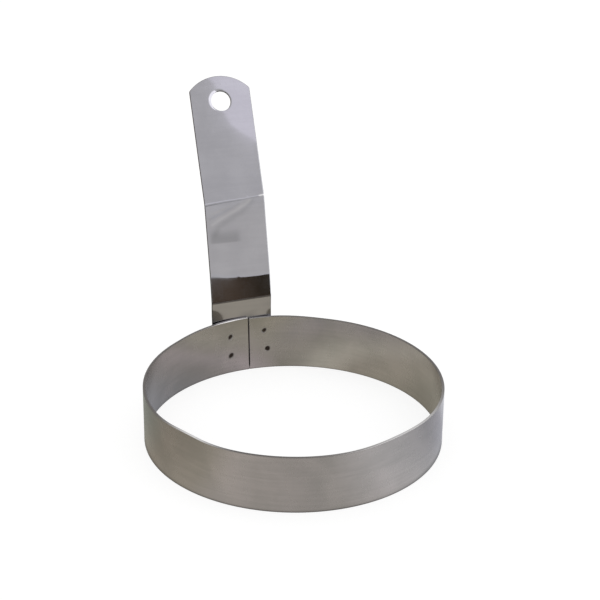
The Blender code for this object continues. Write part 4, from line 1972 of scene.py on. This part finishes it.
@dataclass
class Studio:
    """Plain pale studio: floor, white surround, soft lamps and the cards that metal shows.

    Args:
        aim: Point that the lamps face.
        daylight: Strength of the even light from all round.
        floor_half: Half the floor's side.
        floor_paint: Colour of the floor.
        floor_lift: How much white the floor adds where it is seen.
        lamps: The lamps.
    """

    aim: Vector = field(default_factory=lambda: Vector((0.0, 0.03, 0.06)))
    daylight: float = 0.8
    floor_half: float = 8.0
    floor_paint: Colour = (0.32, 0.32, 0.32)
    floor_lift: float = 0.77
    lamps: tuple[Lamp, ...] = (
        Lamp("side_lamp", 330.0, 50.0, 1.6, (0.7, 0.7), 0.5, (0.97, 0.98, 1.0)),
        Lamp("top_lamp", 100.0, 72.0, 1.6, (0.9, 0.9), 0.5),
    )

    @staticmethod
    def seen(wire: Wiring) -> Socket:
        """1 for rays that look at the background, straight, in metal or through glass.

        Args:
            wire: Wiring of the background's material.

        Returns:
            The value.
        """
        path = wire.add("ShaderNodeLightPath")
        both = wire.maths("MAXIMUM", path.outputs["Is Camera Ray"], path.outputs["Is Glossy Ray"])
        return wire.maths("MAXIMUM", both, path.outputs["Is Transmission Ray"])

    def lay_floor(self) -> None:
        """Lays the pale floor. It is white where it is seen, and keeps the shadow."""
        wire = Wiring(bpy.data.materials.new("floor_paint"))
        paint = wire.add("ShaderNodeBsdfDiffuse", {"Color": self.floor_paint})
        lift = wire.maths("MULTIPLY", self.seen(wire), self.floor_lift)
        glow = wire.add("ShaderNodeEmission", {"Strength": lift})
        both = wire.add("ShaderNodeAddShader", {0: paint.outputs["BSDF"], 1: glow.outputs["Emission"]})
        lay_square("floor", self.floor_half, 0.0, wire.finish(both.outputs["Shader"]))

    def light_world(self) -> None:
        """Lights the scene evenly, before a white background."""
        wire = Wiring(bpy.data.worlds.new("white_surround"))
        levels = {"Value": self.seen(wire), "To Min": self.daylight, "To Max": 1.0}
        strength = wire.add("ShaderNodeMapRange", levels).outputs["Result"]
        glow = wire.add("ShaderNodeBackground", {"Color": WHITE, "Strength": strength})
        bpy.context.scene.world = wire.finish(glow.outputs["Background"])

    def build(self) -> None:
        """Sets the whole studio up."""
        self.lay_floor()
        TableCard().lay()
        self.light_world()
        for card in CARDS:
            card.stand()
        for lamp in self.lamps:
            lamp.hang(self.aim)


@dataclass(frozen=True)
class Viewpoint:
    """The photograph's camera.

    Args:
        place: Where it stands.
        right: Its right-hand direction.
        up: Its up direction.
        lens: Focal length in millimetres, for the sensor's width.
        sensor: Width of the sensor in millimetres.
    """

    place: tuple[float, float, float] = (-0.2162132, -0.6206743, 0.36024)
    right: tuple[float, float, float] = (0.94065138, -0.33917816, 0.0111)
    up: tuple[float, float, float] = (0.13401521, 0.40132253, 0.90608)
    lens: float = 100.063
    sensor: float = 36.0

    def stand(self) -> None:
        """Makes the camera and hands it to the scene."""
        data = bpy.data.cameras.new("photo_camera")
        data.lens = self.lens
        data.sensor_width = self.sensor
        camera = bpy.data.objects.new("photo_camera", data)
        right = Vector(self.right).normalized()
        up = (Vector(self.up) - right * Vector(self.up).dot(right)).normalized()
        axes = Matrix((right, up, right.cross(up))).transposed().to_4x4()
        camera.matrix_world = Matrix.Translation(Vector(self.place)) @ axes
        bpy.context.scene.collection.objects.link(camera)
        bpy.context.scene.camera = camera


def hand_over(piece: bpy.types.Object, node: Node, finish: bpy.types.Material) -> None:
    """Gives a piece its finish and lets it stand for its node.

    Args:
        piece: The dressed piece.
        node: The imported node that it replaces.
        finish: Its material.
    """
    piece.data.materials.append(finish)
    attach(piece, BODY)
    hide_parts(node.value)
    log.info("%s: %d faces, for %s", piece.name, len(piece.data.polygons), node.value)


def main() -> None:
    """Builds and dresses the egg ring, then the studio round it."""
    logging.basicConfig(level=logging.INFO, format="%(name)s: %(message)s")
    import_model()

    satin, bright = SATIN_STEEL.material(), BRIGHT_STEEL.material()
    oxide = WeldOxide().material()
    hand_over(RingBand().surface().build("rolled_band"), Node.BAND, satin)
    hand_over(Handle().surface().build("folded_handle"), Node.HANDLE, bright)
    for spot in WELD_SPOTS:
        weld = SpotWeld(spot).surface().build(f"{spot.node.value}_pit")
        hand_over(weld, spot.node, oxide)

    Studio().build()
    Viewpoint().stand()
    bpy.context.scene.view_settings.view_transform = "Standard"


if __name__ == "__main__":
    main()
